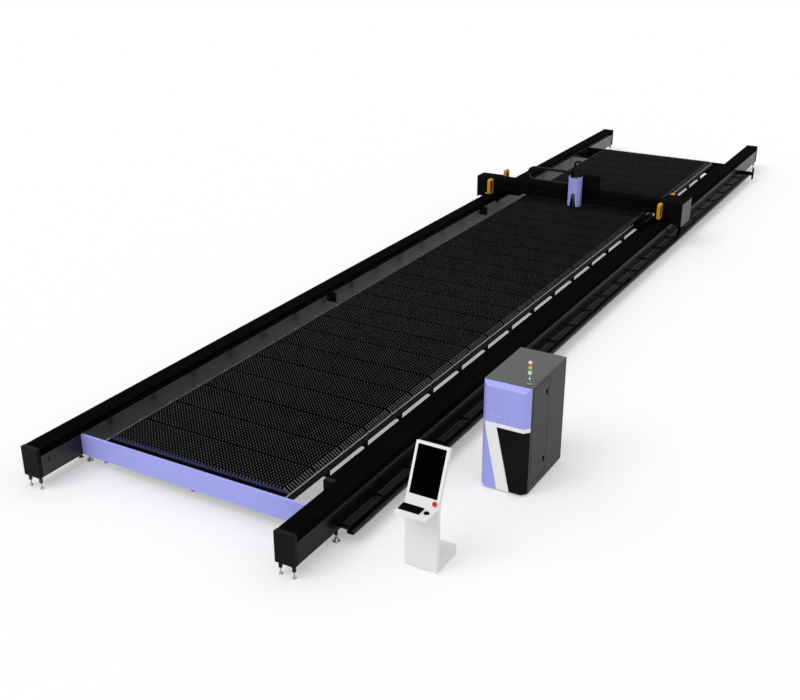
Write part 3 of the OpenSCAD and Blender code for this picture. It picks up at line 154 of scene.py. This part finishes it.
def surface(name, colour, rough, metal=0.0, specular=0.5, vary=0.12, vary_size=0.8, grain=0.2,
            grain_size=0.002, coat=0.0, stretch=(1, 1, 1), tip_shade=None, lit_top=None, groove_shade=None):
    """Paint, plastic or metal with a slow change of tone, a fine grain and uneven gloss.

    Tip shade is a depth in metres below the slats' outline, over which the full colour falls to
    black, as painted shade between the teeth; the colour also darkens towards the far end of the
    bed.
    Lit top is how many times as bright the faces are that look up, as painted light on the tops.
    Groove shade is two heights in metres: black below the first, full colour above the second, as
    painted shade in a groove.
    """
    mat = FINISH[name] = bpy.data.materials.new(name)
    mat.use_nodes = True
    tree = mat.node_tree
    shader = tree.nodes["Principled BSDF"]
    shader.inputs["Metallic"].default_value = metal
    shader.inputs["Specular IOR Level"].default_value = specular
    if coat:
        shader.inputs["Coat Weight"].default_value = coat
        shader.inputs["Coat Roughness"].default_value = COAT_ROUGH
    place = tree.nodes.new("ShaderNodeTexCoord")
    scale = tree.nodes.new("ShaderNodeMapping")
    scale.inputs["Scale"].default_value = stretch
    tree.links.new(place.outputs["Object"], scale.inputs["Vector"])

    tone = noise(tree, scale.outputs["Vector"], vary_size, TONE_DETAIL)
    base = mixed(tree, tone, tinted(colour, 1 - vary), tinted(colour, 1 + vary))
    # Painted shade below the tooth tips, and darker towards the far end of the bed
    if tip_shade:
        x, y, z = split(tree, place.outputs["Object"])
        past = maths(tree, "SUBTRACT", maths(tree, "ABSOLUTE", x), (SLAT_X - SLOPE) * MM)
        height = maths(tree, "MULTIPLY_ADD", maths(tree, "MAXIMUM", past, 0), SHOULDER / SLOPE, z)
        bright = remap(tree, height, SLAT_Z1 * MM - tip_shade, SLAT_Z1 * MM, 0, 1)
        far_fade = remap(tree, y, FAR_FADE_FROM, FAR_FADE_TO, 1, FAR_FADE_LEFT)
        unshaded = maths(tree, "MULTIPLY", maths(tree, "POWER", bright, TIP_SHADE_POWER), far_fade)
        base = mixed(tree, unshaded, SHADE_BLACK, base)
    # Painted light: faces that look up are made lighter
    if lit_top:
        up = split(tree, place.outputs["Normal"])[2]
        base = mixed(tree, remap(tree, up, LIT_TOP_FROM, LIT_TOP_FULL, 0, 1), base, tinted(colour, lit_top))
    # Painted shade: black low in a groove
    if groove_shade:
        z = split(tree, place.outputs["Object"])[2]
        base = mixed(tree, remap(tree, z, *groove_shade, 0, 1), SHADE_BLACK, base)
    tree.links.new(base, shader.inputs["Base Color"])

    smoothest, roughest = max(ROUGH_LEAST, rough - ROUGH_SPREAD), min(1, rough + ROUGH_SPREAD)
    tree.links.new(remap(tree, tone, 0, 1, smoothest, roughest), shader.inputs["Roughness"])
    bump = tree.nodes.new("ShaderNodeBump")
    bump.inputs["Strength"].default_value = grain
    bump.inputs["Distance"].default_value = grain_size * GRAIN_DEPTH
    relief = noise(tree, scale.outputs["Vector"], grain_size, GRAIN_DETAIL)
    tree.links.new(relief, bump.inputs["Height"])
    tree.links.new(bump.outputs["Normal"], shader.inputs["Normal"])
    return mat


# What several surfaces have in common
POWDER = dict(grain=0.12, grain_size=0.0012, specular=0.3)
SHEET = dict(grain=0.25, grain_size=0.0015)
RAIL = dict(vary=0.2, grain=0.05)
SCALE = dict(grain=0.4, grain_size=0.004, specular=0.1)
MOULDED = dict(vary=0.1, grain=0.3, grain_size=0.0008)
LENS = dict(vary=0.06, grain=0.05, coat=0.4)
DRAWN = dict(grain=0.15, grain_size=0.001, stretch=(1, 0.05, 1))

surface("lilac_paint", rgb(160, 164, 236), 0.42, vary=0.03, **POWDER)
surface("white_paint", rgb(230, 230, 230), 0.4, vary=0.02, **POWDER)
stripe_white = surface("stripe_white", rgb(238, 238, 238), 0.4, vary=0.02, **POWDER)
# Front bar: dark, with a painted reflection of the lilac panel in its colour
reflected_lilac_bar = surface("reflected_lilac_bar", rgb(58, 60, 92), 0.4, vary=0.1, grain_size=0.0015, specular=0.3)
black = surface("black_sheet", rgb(9, 9, 9), 0.5, vary=0.3, specular=0.0004, **SHEET)
beam_black = surface("beam_paint", rgb(14, 14, 14), 0.5, vary=0.25, specular=0.0004, **SHEET)
bed_paint = surface("bed_paint", rgb(22, 22, 22), 0.5, vary=0.2, specular=0.04, **SHEET)
rail = surface("rail_paint", rgb(9, 9, 10), 0.24, specular=0.085, **RAIL)
rail_left = surface("rail_paint_glossy", rgb(9, 9, 10), 0.2, specular=0.42, **RAIL)
cap = surface("cap_paint", rgb(14, 14, 14), 0.45, vary=0.15, grain=0.25, grain_size=0.0012,
              specular=0.05)
# Trough paint, black low in its chain groove as painted shade
trough = surface("trough_paint", rgb(36, 36, 37), 0.4, vary=0.1, grain=0.03, grain_size=0.0015,
                 specular=0.12, groove_shade=(0.19, 0.225))
# Cabinet paint, with painted light on its top
surface("cabinet_paint", rgb(54, 54, 55), 0.5, vary=0.05, grain=0.3, grain_size=0.001,
        specular=0.15, lit_top=2.5)
cabinet_black = surface("cabinet_black", rgb(19, 19, 19), 0.45, vary=0.08, grain=0.25,
                        grain_size=0.001, specular=0.03)
surface("source_paint", rgb(108, 108, 114), 0.45, vary=0.06, grain=0.25, grain_size=0.001)
seam = surface("seam_shade", rgb(24, 24, 25), 0.7, vary=0.1, grain=0.1, specular=0.05)
# Slat steel, with painted shade below the tooth tips
slat = surface("slat_steel", rgb(142, 142, 143), 0.5, vary=0.35, vary_size=0.3, tip_shade=0.026, **SCALE)
bar_steel = surface("bar_steel", rgb(10, 10, 10), 0.6, vary=0.4, vary_size=0.2, **SCALE)
deflector = surface("deflector_sheet", rgb(150, 150, 152), 0.4, vary=0.15, specular=0.4)
surface("guide_steel", rgb(170, 172, 176), 0.28, metal=1.0, vary=0.1, **DRAWN)
oxide = surface("oxide_steel", rgb(12, 12, 13), 0.4, metal=0.3, vary=0.2, specular=0.05, **DRAWN)
chrome = surface("foot_chrome", rgb(165, 165, 170), 0.12, metal=1.0, vary=0.05, grain=0.03)
zinc = surface("screw_zinc", rgb(150, 150, 152), 0.35, metal=1.0, vary=0.1, grain=0.1,
               grain_size=0.001)
surface("dark_aluminium", rgb(36, 36, 38), 0.4, metal=0.6, vary=0.1)
surface("head_aluminium", rgb(150, 152, 158), 0.35, metal=1.0, vary=0.08)
surface("nozzle_copper", rgb(190, 112, 70), 0.28, metal=1.0, vary=0.1)
chain = surface("chain_plastic", rgb(16, 16, 17), 0.5, vary=0.15, grain_size=0.001, specular=0.12)
plastic = surface("dark_plastic", rgb(4, 4, 4), 0.55, specular=0.0, **MOULDED)
key_plastic = surface("key_plastic", rgb(8, 8, 8), 0.5, specular=0.01, **MOULDED)
surface("white_plastic", rgb(222, 222, 222), 0.25, vary=0.03, grain=0.05)
surface("lamp_plastic", rgb(235, 235, 240), 0.15, vary=0.03, grain=0.03)
surface("green_lens", rgb(46, 160, 78), 0.15, **LENS)
surface("amber_lens", rgb(228, 190, 40), 0.15, **LENS)
surface("red_lens", rgb(196, 46, 34), 0.15, **LENS)
surface("screen_black", rgb(2, 2, 2), 0.3, vary=0.1, grain=0.01, specular=0.0)
surface("red_plastic", rgb(214, 26, 22), 0.35, vary=0.05, grain=0.05, specular=0.2)
surface("bumper_yellow", rgb(196, 142, 22), 0.6, vary=0.1, grain=0.4, grain_size=0.003,
        specular=0.2)

for part in frame["record"]["subparts"]:
    body = nodes[part["node"]]
    body.data.materials.clear()
    body.data.materials.append(FINISH[part["material_slot"]])
for name, finish in {
    "rail_end_caps": cap, "bed_front_bar": reflected_lilac_bar, "chain_trough": trough,
    "cross_guides": beam_black, "left_rail_beam": rail_left, "gantry_beam": beam_black,
    "left_end_cover": beam_black, "right_end_cover": beam_black, "cross_drive_box": beam_black,
    "slat_support_bars": bar_steel, "rail_guides": oxide, "bed_frame": bed_paint,
    "cabinet_front_black": cabinet_black, "cabinet_front_stripe": stripe_white,
}.items():
    nodes[name].data.materials[0] = finish


# Pieces built here. Sizes are in millimetres.

SHARP_ANGLE, EDGE_STEPS = math.radians(35), 2
CORNERS = ((0, 0, 0), (1, 0, 0), (1, 1, 0), (0, 1, 0), (0, 0, 1), (1, 0, 1), (1, 1, 1), (0, 1, 1))
CORNER_FACES = ((3, 2, 1, 0), (4, 5, 6, 7), (0, 1, 5, 4), (1, 2, 6, 5), (2, 3, 7, 6), (3, 0, 4, 7))


def circle(x, y, radius, sides):
    """Points round a centre."""
    turns = [2 * math.pi * i / sides for i in range(sides)]
    return [(x + radius * math.cos(t), y + radius * math.sin(t)) for t in turns]


class Shape:
    """The faces of one piece."""

    def __init__(self):
        self.verts = []
        self.faces = []

    def add(self, verts, faces):
        n = len(self.verts)
        self.verts += verts
        self.faces += [[n + i for i in f] for f in faces]

    def prism(self, outline, axis, a, b):
        """Outline run from a to b along x (points are y, z), y (x, z) or z (x, y)."""
        n = len(outline)
        lift = {"x": lambda p, t: (t, p[0], p[1]), "y": lambda p, t: (p[0], t, p[1]),
                "z": lambda p, t: (p[0], p[1], t)}[axis]
        verts = [lift(p, a) for p in outline] + [lift(p, b) for p in outline]
        pairs = [(outline[i - 1], outline[i]) for i in range(n)]
        area = sum(p[0] * q[1] - q[0] * p[1] for p, q in pairs)
        near, far = list(range(n)), list(range(n, 2 * n))
        faces = [near[::-1], far] + [[i, (i + 1) % n, n + (i + 1) % n, n + i] for i in range(n)]
        if (area < 0) != (axis == "y"):
            faces = [f[::-1] for f in faces]
        self.add(verts, faces)

    def box(self, lo, hi):
        outline = [(lo[0], lo[1]), (hi[0], lo[1]), (hi[0], hi[1]), (lo[0], hi[1])]
        self.prism(outline, "z", lo[2], hi[2])

    def hexagon(self, centre, radius, height):
        """Six-sided head or nut that stands on a centre point."""
        x, y, z = centre
        self.prism(circle(x, y, radius, 6), "z", z, z + height)

    def turned(self, profile, centre, sides=24):
        """Profile of (radius, height) points turned about z, with both ends closed flat."""
        x, y, z = centre
        verts = [(px, py, z + h) for r, h in profile for px, py in circle(x, y, r, sides)]
        faces = []
        for k in range(len(profile) - 1):
            a, b = k * sides, (k + 1) * sides
            for i in range(sides):
                j = (i + 1) % sides
                faces.append([a + i, a + j, b + j, b + i])
        last = (len(profile) - 1) * sides
        faces += [list(range(sides))[::-1], list(range(last, last + sides))]
        self.add(verts, faces)

    def piece(self, name, material, body, bevel=0.0, smooth=False):
        """The finished object, riding on a body if one is given."""
        mesh = bpy.data.meshes.new(name)
        mesh.from_pydata([(v[0] * MM, v[1] * MM, v[2] * MM) for v in self.verts], [], self.faces)
        mesh.update()
        if smooth:
            mesh.shade_smooth()
        mesh.materials.append(material)
        obj = bpy.data.objects.new(name, mesh)
        bpy.context.collection.objects.link(obj)
        if bevel:
            soften(obj, bevel)
        if body:
            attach(obj, body)
        return obj


def soften(obj, width):
    """Rounds the sharp edges of an object by a width in millimetres."""
    bevel = obj.modifiers.new("edges", "BEVEL")
    bevel.width = width * MM
    bevel.segments = EDGE_STEPS
    bevel.limit_method = "ANGLE"
    bevel.angle_limit = SHARP_ANGLE
    bevel.harden_normals = True


def islands(node):
    """Boxes in millimetres of the separate solids of a CAD node, in order along x, then y."""
    mesh = nodes[node].data
    spot = [tuple(round(v / MM, 2) for v in vert.co) for vert in mesh.vertices]
    head = {point: point for point in spot}

    def root(point):
        while head[point] != point:
            head[point] = head[head[point]]
            point = head[point]
        return point

    for edge in mesh.edges:
        a, b = edge.vertices
        head[root(spot[a])] = root(spot[b])
    groups = {}
    for point in head:
        groups.setdefault(root(point), []).append(point)
    columns = [list(zip(*points)) for points in groups.values()]
    return sorted(([min(c) for c in axes], [max(c) for c in axes]) for axes in columns)


# Slats with pointed teeth and sloped ends, in place of the plain strips
def slat_outline():
    flat = SLAT_X - SLOPE
    pitch = 2 * flat / TEETH
    low = SLAT_Z1 - SHOULDER
    points = [(-SLAT_X, SLAT_Z0), (SLAT_X, SLAT_Z0), (SLAT_X, low), (flat, SLAT_Z1)]
    for k in range(TEETH):
        tip = flat - (k + 1) * pitch
        points.append((flat - (k + 0.5) * pitch, SLAT_Z1 - TOOTH_DEPTH))
        points += [(tip + TIP / 2, SLAT_Z1), (tip - TIP / 2, SLAT_Z1)]
    points[-1] = (-flat, SLAT_Z1)
    points.append((-SLAT_X, low))
    return points


outline = slat_outline()
for half, end in enumerate(("near", "far")):
    shape = Shape()
    for c in range(half * CASSETTES // 2, (half + 1) * CASSETTES // 2):
        for k in range(PER_CASSETTE):
            y = SLAT_Y0 + c * CASSETTE_PITCH + k * SLAT_PITCH
            shape.prism(outline, "y", y, y + SLAT_T)
    toothed = shape.piece(f"toothed_slats_{end}", slat, "machine")
    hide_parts("bed_slats")


# Lifting lugs between the cassettes, standing on the strips at both sides of the bed
LUG_INSET, LUG_SINK, LUG_T = 8, 1, 5
LUG = [(-16, 0), (16, 0), (16, 14), (8, 24), (-8, 24), (-16, 14)]
lo, hi = span("side_deflectors")
cassette_gap = CASSETTE_PITCH - (PER_CASSETTE - 1) * SLAT_PITCH
shape = Shape()
for c in range(CASSETTES - 1):
    y = SLAT_Y0 + (c + 1) * CASSETTE_PITCH - cassette_gap / 2
    outline = [(y + a, hi[2] - LUG_SINK + b) for a, b in LUG]
    for side in (-1, 1):
        x = side * (hi[0] - LUG_INSET)
        shape.prism(outline, "x", x - LUG_T / 2, x + LUG_T / 2)
lugs = shape.piece("cassette_lugs", deflector, "machine", bevel=1)


# Energy chains. The parts of a link are given along it and up it, as shares of its length and
# height. Its walls are a share of its width, and the insets are counted in walls.
LINK_WALL, LINK_GAP = 0.09, 0.6
PLATE_ALONG, PLATE_UP = (0.02, 0.64), (0.06, 0.94)
TONGUE_ALONG, TONGUE_UP, TONGUE_INSET = (0.6, 0.985), (0.1, 0.9), 0.5
BAR_ALONG, BAR_UPS = (0.14, 0.62), ((0, 0.12), (0.88, 1))
CORE_ALONG, CORE_UP, CORE_INSET = (0.02, 0.98), (0.2, 0.8), 1.6


def chain_link(shape, place, length, width, height):
    """Link with side plates, tongues and cross bars.

    Place maps a point (along, across, up) of the link to the machine.
    """
    def block(along, across, up):
        points = [(along[i] * length, across[j], up[k] * height) for i, j, k in CORNERS]
        shape.add([place(*p) for p in points], CORNER_FACES)

    wall = LINK_WALL * width
    inset = TONGUE_INSET * wall
    for b in (0, width - wall):
        block(PLATE_ALONG, (b, b + wall), PLATE_UP)
    for b in (inset, width - inset - wall):
        block(TONGUE_ALONG, (b, b + wall), TONGUE_UP)
    for up in BAR_UPS:
        block(BAR_ALONG, (wall, width - wall), up)
    block(CORE_ALONG, (wall * CORE_INSET, width - wall * CORE_INSET), CORE_UP)


# Chain that lies in the trough
TROUGH_LINK = 75
lo, hi = span("trough_chain")
shape = Shape()
for i in range(round((hi[1] - lo[1] + LINK_GAP) / TROUGH_LINK)):
    def place(a, b, c, y=lo[1] + i * TROUGH_LINK):
        return lo[0] + b, y + a, lo[2] + c

    chain_link(shape, place, TROUGH_LINK - LINK_GAP, hi[0] - lo[0], hi[2] - lo[2])
links = shape.piece("trough_links", chain, "machine", bevel=1.5)
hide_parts("trough_chain")


# Cross chain: two runs and a loop between them, with the runs' ends set from the head's place
LINK_H, LOOP_LINKS = 56, 9
HEAD_X, LOWER_PAST_HEAD, UPPER_SHORT_OF_HEAD = 30, 70, 245
lo, hi = span("cross_chain")
width = hi[1] - lo[1]
loop_d = hi[2] - lo[2]
loop_r = (loop_d - LINK_H) / 2
loop_x = lo[0] + loop_d / 2
link_len = math.pi * loop_r / LOOP_LINKS
for name, reach, z in (("lower", HEAD_X + LOWER_PAST_HEAD, lo[2]),
                       ("upper", HEAD_X - UPPER_SHORT_OF_HEAD, hi[2] - LINK_H)):
    count = math.floor((reach - loop_x) / link_len)
    shape = Shape()
    for i in range(count):
        def place(a, b, c, x=loop_x + i * link_len):
            return x + a, lo[1] + b, z + c

        chain_link(shape, place, link_len - LINK_GAP, width, LINK_H)
    run = shape.piece(f"cross_links_{name}", chain, None)
    far = loop_x + count * link_len
    mirror = 2 * loop_x - far
    ends = [(far * MM, 0, 0), (mirror * MM, 0, 0)]
    if name == "upper":
        ends.reverse()
    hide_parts("cross_chain")
    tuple(ends[0])
    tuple(ends[1])
    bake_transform(run)
bend = math.pi / LOOP_LINKS
chord = 2 * loop_r * math.tan(bend / 2)
centre_z = (lo[2] + hi[2]) / 2
shape = Shape()
for i in range(LOOP_LINKS):
    def place(a, b, c, turn=(i + 0.5) * bend):
        u = a - chord / 2
        v = -loop_d / 2 + c
        return (loop_x + u * math.cos(turn) + v * math.sin(turn), lo[1] + b,
                centre_z - u * math.sin(turn) + v * math.cos(turn))

    chain_link(shape, place, chord - LINK_GAP, width, LINK_H)
loop = shape.piece("cross_links_loop", chain, None)
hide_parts("cross_chain")
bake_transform(loop)


# Hose carrier over the head: links round an upside-down U
ARCH_T, ARCH_LINKS, LEG_LINK = 45, 11, 36
lo, hi = span("hose_arch")
width = hi[1] - lo[1]
arch_r = (hi[0] - lo[0]) / 2
mid_x = (lo[0] + hi[0]) / 2
bend_z = hi[2] - arch_r
leg_links = round((bend_z - lo[2]) / LEG_LINK)
leg = (bend_z - lo[2]) / leg_links
shape = Shape()
for x in (lo[0], hi[0] - ARCH_T):
    for i in range(leg_links):
        def place(a, b, c, z=lo[2] + i * leg):
            return x + c, lo[1] + b, z + a

        chain_link(shape, place, leg, width, ARCH_T)
bend = math.pi / ARCH_LINKS
chord = 2 * (arch_r - ARCH_T / 2) * math.tan(bend / 2)
for i in range(ARCH_LINKS):
    def place(a, b, c, turn=math.pi - (i + 0.5) * bend):
        out = arch_r - ARCH_T + c
        along = a - chord / 2
        return (mid_x + out * math.cos(turn) + along * math.sin(turn), lo[1] + b,
                bend_z + out * math.sin(turn) - along * math.cos(turn))

    chain_link(shape, place, chord, width, ARCH_T)
arch = shape.piece("hose_links", chain, "head", bevel=1)
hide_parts("hose_arch")


# Side plates on the end covers, in the glossier paint of the rails, which reach below the sheet
PLATE_T, PLATE_DROP, PLATE_INSET, PLATE_SINK = 3, 38, 3, 0.5
for side in ("left", "right"):
    lo, hi = span(f"{side}_end_cover")
    x = hi[0] - PLATE_SINK if side == "right" else lo[0] - PLATE_T + PLATE_SINK
    shape = Shape()
    shape.box((x, lo[1] + PLATE_INSET, lo[2] - PLATE_DROP),
              (x + PLATE_T, hi[1] - PLATE_INSET, hi[2] - PLATE_INSET))
    plate = shape.piece(f"{side}_cover_plate", rail, "gantry", bevel=1)


# Dark plates in the slots of the safety bumpers, as painted shade of the slots' insides. Lower
# solids in that node are the bumpers' arms.
BUMPER_D, BUMPER_SLOT_D, BUMPER_SLOT_H, SLOT_SINK, SLOT_STEPS = 220, 90, 250, 6, 12
cover_y = sum(v[1] for v in span("right_end_cover")) / 2
slot_r = BUMPER_SLOT_D / 2
slot_rise = BUMPER_SLOT_H / 2 - slot_r
turns = [math.pi * i / SLOT_STEPS for i in range(SLOT_STEPS + 1)]
arc = [(slot_r * math.cos(t), slot_rise + slot_r * math.sin(t)) for t in turns]
shape = Shape()
for lo, hi in islands("safety_bumpers"):
    if hi[2] - lo[2] < BUMPER_SLOT_H:
        continue
    y = lo[1] + BUMPER_D / 2 if lo[1] < cover_y else hi[1] - BUMPER_D / 2
    z = (lo[2] + hi[2]) / 2
    outline = [(y + a, z + b) for a, b in arc] + [(y - a, z - b) for a, b in arc]
    shape.prism(outline, "x", lo[0] + SLOT_SINK, hi[0] - SLOT_SINK)
slot_shades = shape.piece("bumper_slot_shade", plastic, "gantry")


# Wiper skirts between the end covers and the sheet on the rails
SKIRT_T, SKIRT_CLEAR, SKIRT_H, SKIRT_OUT, SKIRT_INSET, SKIRT_END = 3, 4, 56, 30, 5, 1
sheet_top = span("rail_covers")[1][2]
for side in ("left", "right"):
    lo, hi = span(f"{side}_end_cover")
    rail_lo, rail_hi = span(f"{side}_rail_beam")
    if side == "right":
        x0, x1 = lo[0], rail_hi[0] + SKIRT_OUT
        inner = x0 + SKIRT_INSET
    else:
        x0, x1 = rail_lo[0] - SKIRT_OUT, hi[0]
        inner = x1 - SKIRT_INSET - SKIRT_T
    y0, y1 = lo[1] + SKIRT_INSET, hi[1] - SKIRT_INSET
    z0, z1 = sheet_top + SKIRT_CLEAR, sheet_top + SKIRT_H
    shape = Shape()
    for y in (y0, y1 - SKIRT_T):
        shape.box((x0 + SKIRT_END, y, z0), (x1 - SKIRT_END, y + SKIRT_T, z1))
    shape.box((inner, y0, z0), (inner + SKIRT_T, y1, z1))
    skirt = shape.piece(f"{side}_wiper_skirt", plastic, "gantry", bevel=0.5)


# Lock nuts on the studs of the feet
NUT_R, NUT_H, NUT_DROP = 15, 13, 2
feet = islands("leveling_feet")
shape = Shape()
for lo, hi in feet:
    x, y = (lo[0] + hi[0]) / 2, (lo[1] + hi[1]) / 2
    shape.hexagon((x, y, hi[2] - NUT_DROP - NUT_H), NUT_R, NUT_H)
nuts = shape.piece("foot_nuts", zinc, "machine", bevel=1)


# Wide pads under the rail feet, apart from those at the rail ends
PAD = [(56, 0), (56, 8), (46, 16), (26, 34), (17, 62)]
AT_END = 1
rail_x = span("right_rail_beam")[0][0]
first, last = span("leveling_feet")
shape = Shape()
for lo, hi in feet:
    x, y = (lo[0] + hi[0]) / 2, (lo[1] + hi[1]) / 2
    if abs(x) > rail_x and lo[1] > first[1] + AT_END and hi[1] < last[1] - AT_END:
        shape.turned(PAD, (x, y, 0))
pads = shape.piece("foot_pads", chrome, "machine", smooth=True)


# Joint flanges of the left rail, slimmer than the blocks that stand for them, and the right
# rail's long ledge and end block
FLANGE_T, LEDGE_MIN = 62, 1000
flanges, ledge, end_block = Shape(), Shape(), Shape()
for lo, hi in islands("rail_stop_blocks"):
    if hi[0] < 0:
        y = (lo[1] + hi[1]) / 2
        flanges.box((lo[0], y - FLANGE_T / 2, lo[2]), (hi[0], y + FLANGE_T / 2, hi[2]))
    elif hi[1] - lo[1] > LEDGE_MIN:
        ledge.box(lo, hi)
    else:
        end_block.box(lo, hi)
flanges = flanges.piece("joint_flanges", rail_left, "machine", bevel=3)
ledge = ledge.piece("rail_ledge", black, "machine", bevel=3)
end_block = end_block.piece("end_block", cap, "machine", bevel=3)
for piece in (flanges, ledge, end_block):
    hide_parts("rail_stop_blocks")


# Bolts on top of the drive units
BOLT_R, BOLT_H, BOLT_SINK, BOLT_INSET, BOLT_ROWS = 12, 12, 1, 40, 4
shape = Shape()
for lo, hi in islands("drive_units"):
    step = (hi[1] - lo[1] - 2 * BOLT_INSET) / (BOLT_ROWS - 1)
    for k in range(BOLT_ROWS):
        for x in (lo[0] + BOLT_INSET, hi[0] - BOLT_INSET):
            y = lo[1] + BOLT_INSET + k * step
            shape.hexagon((x, y, hi[2] - BOLT_SINK), BOLT_R, BOLT_H)
bolts = shape.piece("drive_bolts", zinc, "gantry", bevel=1)


# Keys on the sloped top of the keyboard, which rises from half its height
KEY_ROWS, KEY_COLUMNS, KEY_MARGIN, KEY_GAP = 6, 15, 7, 2.5
KEY_H, KEY_SINK, KEY_LEAN_FRONT, KEY_LEAN_BACK = 3, 1, 1, 2
lo, hi = span("keyboard")
key_w = (hi[0] - lo[0] - 2 * KEY_MARGIN) / KEY_COLUMNS
key_d = (hi[1] - lo[1] - 2 * KEY_MARGIN) / KEY_ROWS
rise = (hi[2] - lo[2]) / 2 / (hi[1] - lo[1])
shape = Shape()
for row in range(KEY_ROWS):
    y0 = lo[1] + KEY_MARGIN + row * key_d
    y1 = y0 + key_d - KEY_GAP
    z0, z1 = ((lo[2] + hi[2]) / 2 + (y - lo[1]) * rise for y in (y0, y1))
    outline = [(y0, z0 - KEY_SINK), (y1, z1 - KEY_SINK), (y1 - KEY_LEAN_BACK, z1 + KEY_H),
               (y0 + KEY_LEAN_FRONT, z0 + KEY_H)]
    for column in range(KEY_COLUMNS):
        x = lo[0] + KEY_MARGIN + column * key_w
        shape.prism(outline, "x", x, x + key_w - KEY_GAP)
keys = shape.piece("keyboard_keys", key_plastic, "machine", bevel=0.6)


# Seal that shows round the cabinet's door, dark also as painted shade of the gap round the door
SEAL_W, SEAL_PROUD, SEAL_SINK, SEAL_CLEAR = 9, 0.8, 1, 1
lo, hi = span("cabinet_door")
side_x = span("cabinet_body")[1][0]
x0, x1 = side_x - SEAL_SINK, side_x + SEAL_PROUD
y0, y1 = lo[1] - SEAL_CLEAR, hi[1] + SEAL_CLEAR
z0, z1 = lo[2] - SEAL_CLEAR, hi[2] + SEAL_CLEAR
shape = Shape()
for y in (y0 - SEAL_W, y1):
    shape.box((x0, y, z0 - SEAL_W), (x1, y + SEAL_W, z1 + SEAL_W))
for z in (z0 - SEAL_W, z1):
    shape.box((x0, y0, z), (x1, y1, z + SEAL_W))
seal = shape.piece("door_seal", seam, "machine")


# Rounded edges of CAD pieces
for name, width in {
    "left_rail_beam": 4, "right_rail_beam": 4, "gantry_beam": 4, "cabinet_body": 3,
    "console_body": 4, "keyboard_shelf": 3, "head_cover": 1.2, "front_panel": 2,
    "cross_drive_box": 5, "drive_units": 3, "bed_frame": 2, "rail_covers": 1.5,
    "left_end_cover": 1.5, "right_end_cover": 1.5, "rear_panel": 2, "chain_trough": 1.5,
    "safety_bumpers": 5, "cabinet_front_lilac": 3, "keyboard": 2,
}.items():
    soften(nodes[name], width)


# Studio: pale floor, soft sky and one wide lamp. Floor and sky look brighter to camera and glossy
# rays than the light that they give.
FLOOR_SIZE, FLOOR_DROP = 400, 0.0005
FLOOR_LIT, FLOOR_SEEN, FLOOR_GLOW = (0.75, 0.75, 0.755, 1), (0.93, 0.93, 0.935, 1), 0.3
SKY_LIT, SKY_SEEN = 0.8, 1.0
SUN_STRENGTH, SUN_ANGLE, SUN_TURN = 1.1, 40, (38, 0, -25)


def rays(tree, *kinds):
    """Output that is 1 for rays of these kinds and 0 for others."""
    path = tree.nodes.new("ShaderNodeLightPath")
    seen = path.outputs[kinds[0]]
    for kind in kinds[1:]:
        seen = maths(tree, "MAXIMUM", seen, path.outputs[kind])
    return seen


bpy.ops.mesh.primitive_plane_add(size=FLOOR_SIZE, location=(0, 0, -FLOOR_DROP))
floor = bpy.context.object
floor.name = "floor"
floor_mat = bpy.data.materials.new("floor_white")
floor_mat.use_nodes = True
tree = floor_mat.node_tree
tree.nodes.clear()
out = tree.nodes.new("ShaderNodeOutputMaterial")
matte = tree.nodes.new("ShaderNodeBsdfDiffuse")
glow = tree.nodes.new("ShaderNodeEmission")
glow.inputs["Color"].default_value = (1, 1, 1, 1)
mix = tree.nodes.new("ShaderNodeMixShader")
seen = rays(tree, "Is Camera Ray", "Is Glossy Ray")
tree.links.new(mixed(tree, seen, FLOOR_LIT, FLOOR_SEEN), matte.inputs["Color"])
tree.links.new(maths(tree, "MULTIPLY", seen, FLOOR_GLOW), mix.inputs["Fac"])
tree.links.new(matte.outputs[0], mix.inputs[1])
tree.links.new(glow.outputs[0], mix.inputs[2])
tree.links.new(mix.outputs[0], out.inputs["Surface"])
floor.data.materials.append(floor_mat)

world = bpy.data.worlds.new("studio")
bpy.context.scene.world = world
world.use_nodes = True
tree = world.node_tree
back = tree.nodes["Background"]
back.inputs["Color"].default_value = (1, 1, 1, 1)
seen = rays(tree, "Is Camera Ray", "Is Glossy Ray", "Is Transmission Ray")
tree.links.new(remap(tree, seen, 0, 1, SKY_LIT, SKY_SEEN), back.inputs["Strength"])

sun = bpy.data.lights.new("lamp", "SUN")
sun.energy = SUN_STRENGTH
sun.angle = math.radians(SUN_ANGLE)
lamp = bpy.data.objects.new("lamp", sun)
lamp.rotation_euler = [math.radians(a) for a in SUN_TURN]
bpy.context.collection.objects.link(lamp)


# Camera, solved from the rails, the panels and the cabinet in the photo
CAMERA_PLACE, CAMERA_TURN = (9.3944, -21.5047, 8.3596), (66.3058, 0.0905, 29.8413)
CAMERA_LENS, CAMERA_SENSOR, CAMERA_REACH = 49.871, 36, 600
camera = bpy.data.cameras.new("camera")
camera.sensor_fit = "HORIZONTAL"
camera.sensor_width = CAMERA_SENSOR
camera.lens = CAMERA_LENS
camera.clip_end = CAMERA_REACH
eye = bpy.data.objects.new("camera", camera)
eye.location = CAMERA_PLACE
eye.rotation_euler = [math.radians(a) for a in CAMERA_TURN]
bpy.context.collection.objects.link(eye)
bpy.context.scene.camera = eye
bpy.context.scene.view_settings.view_transform = "Standard"
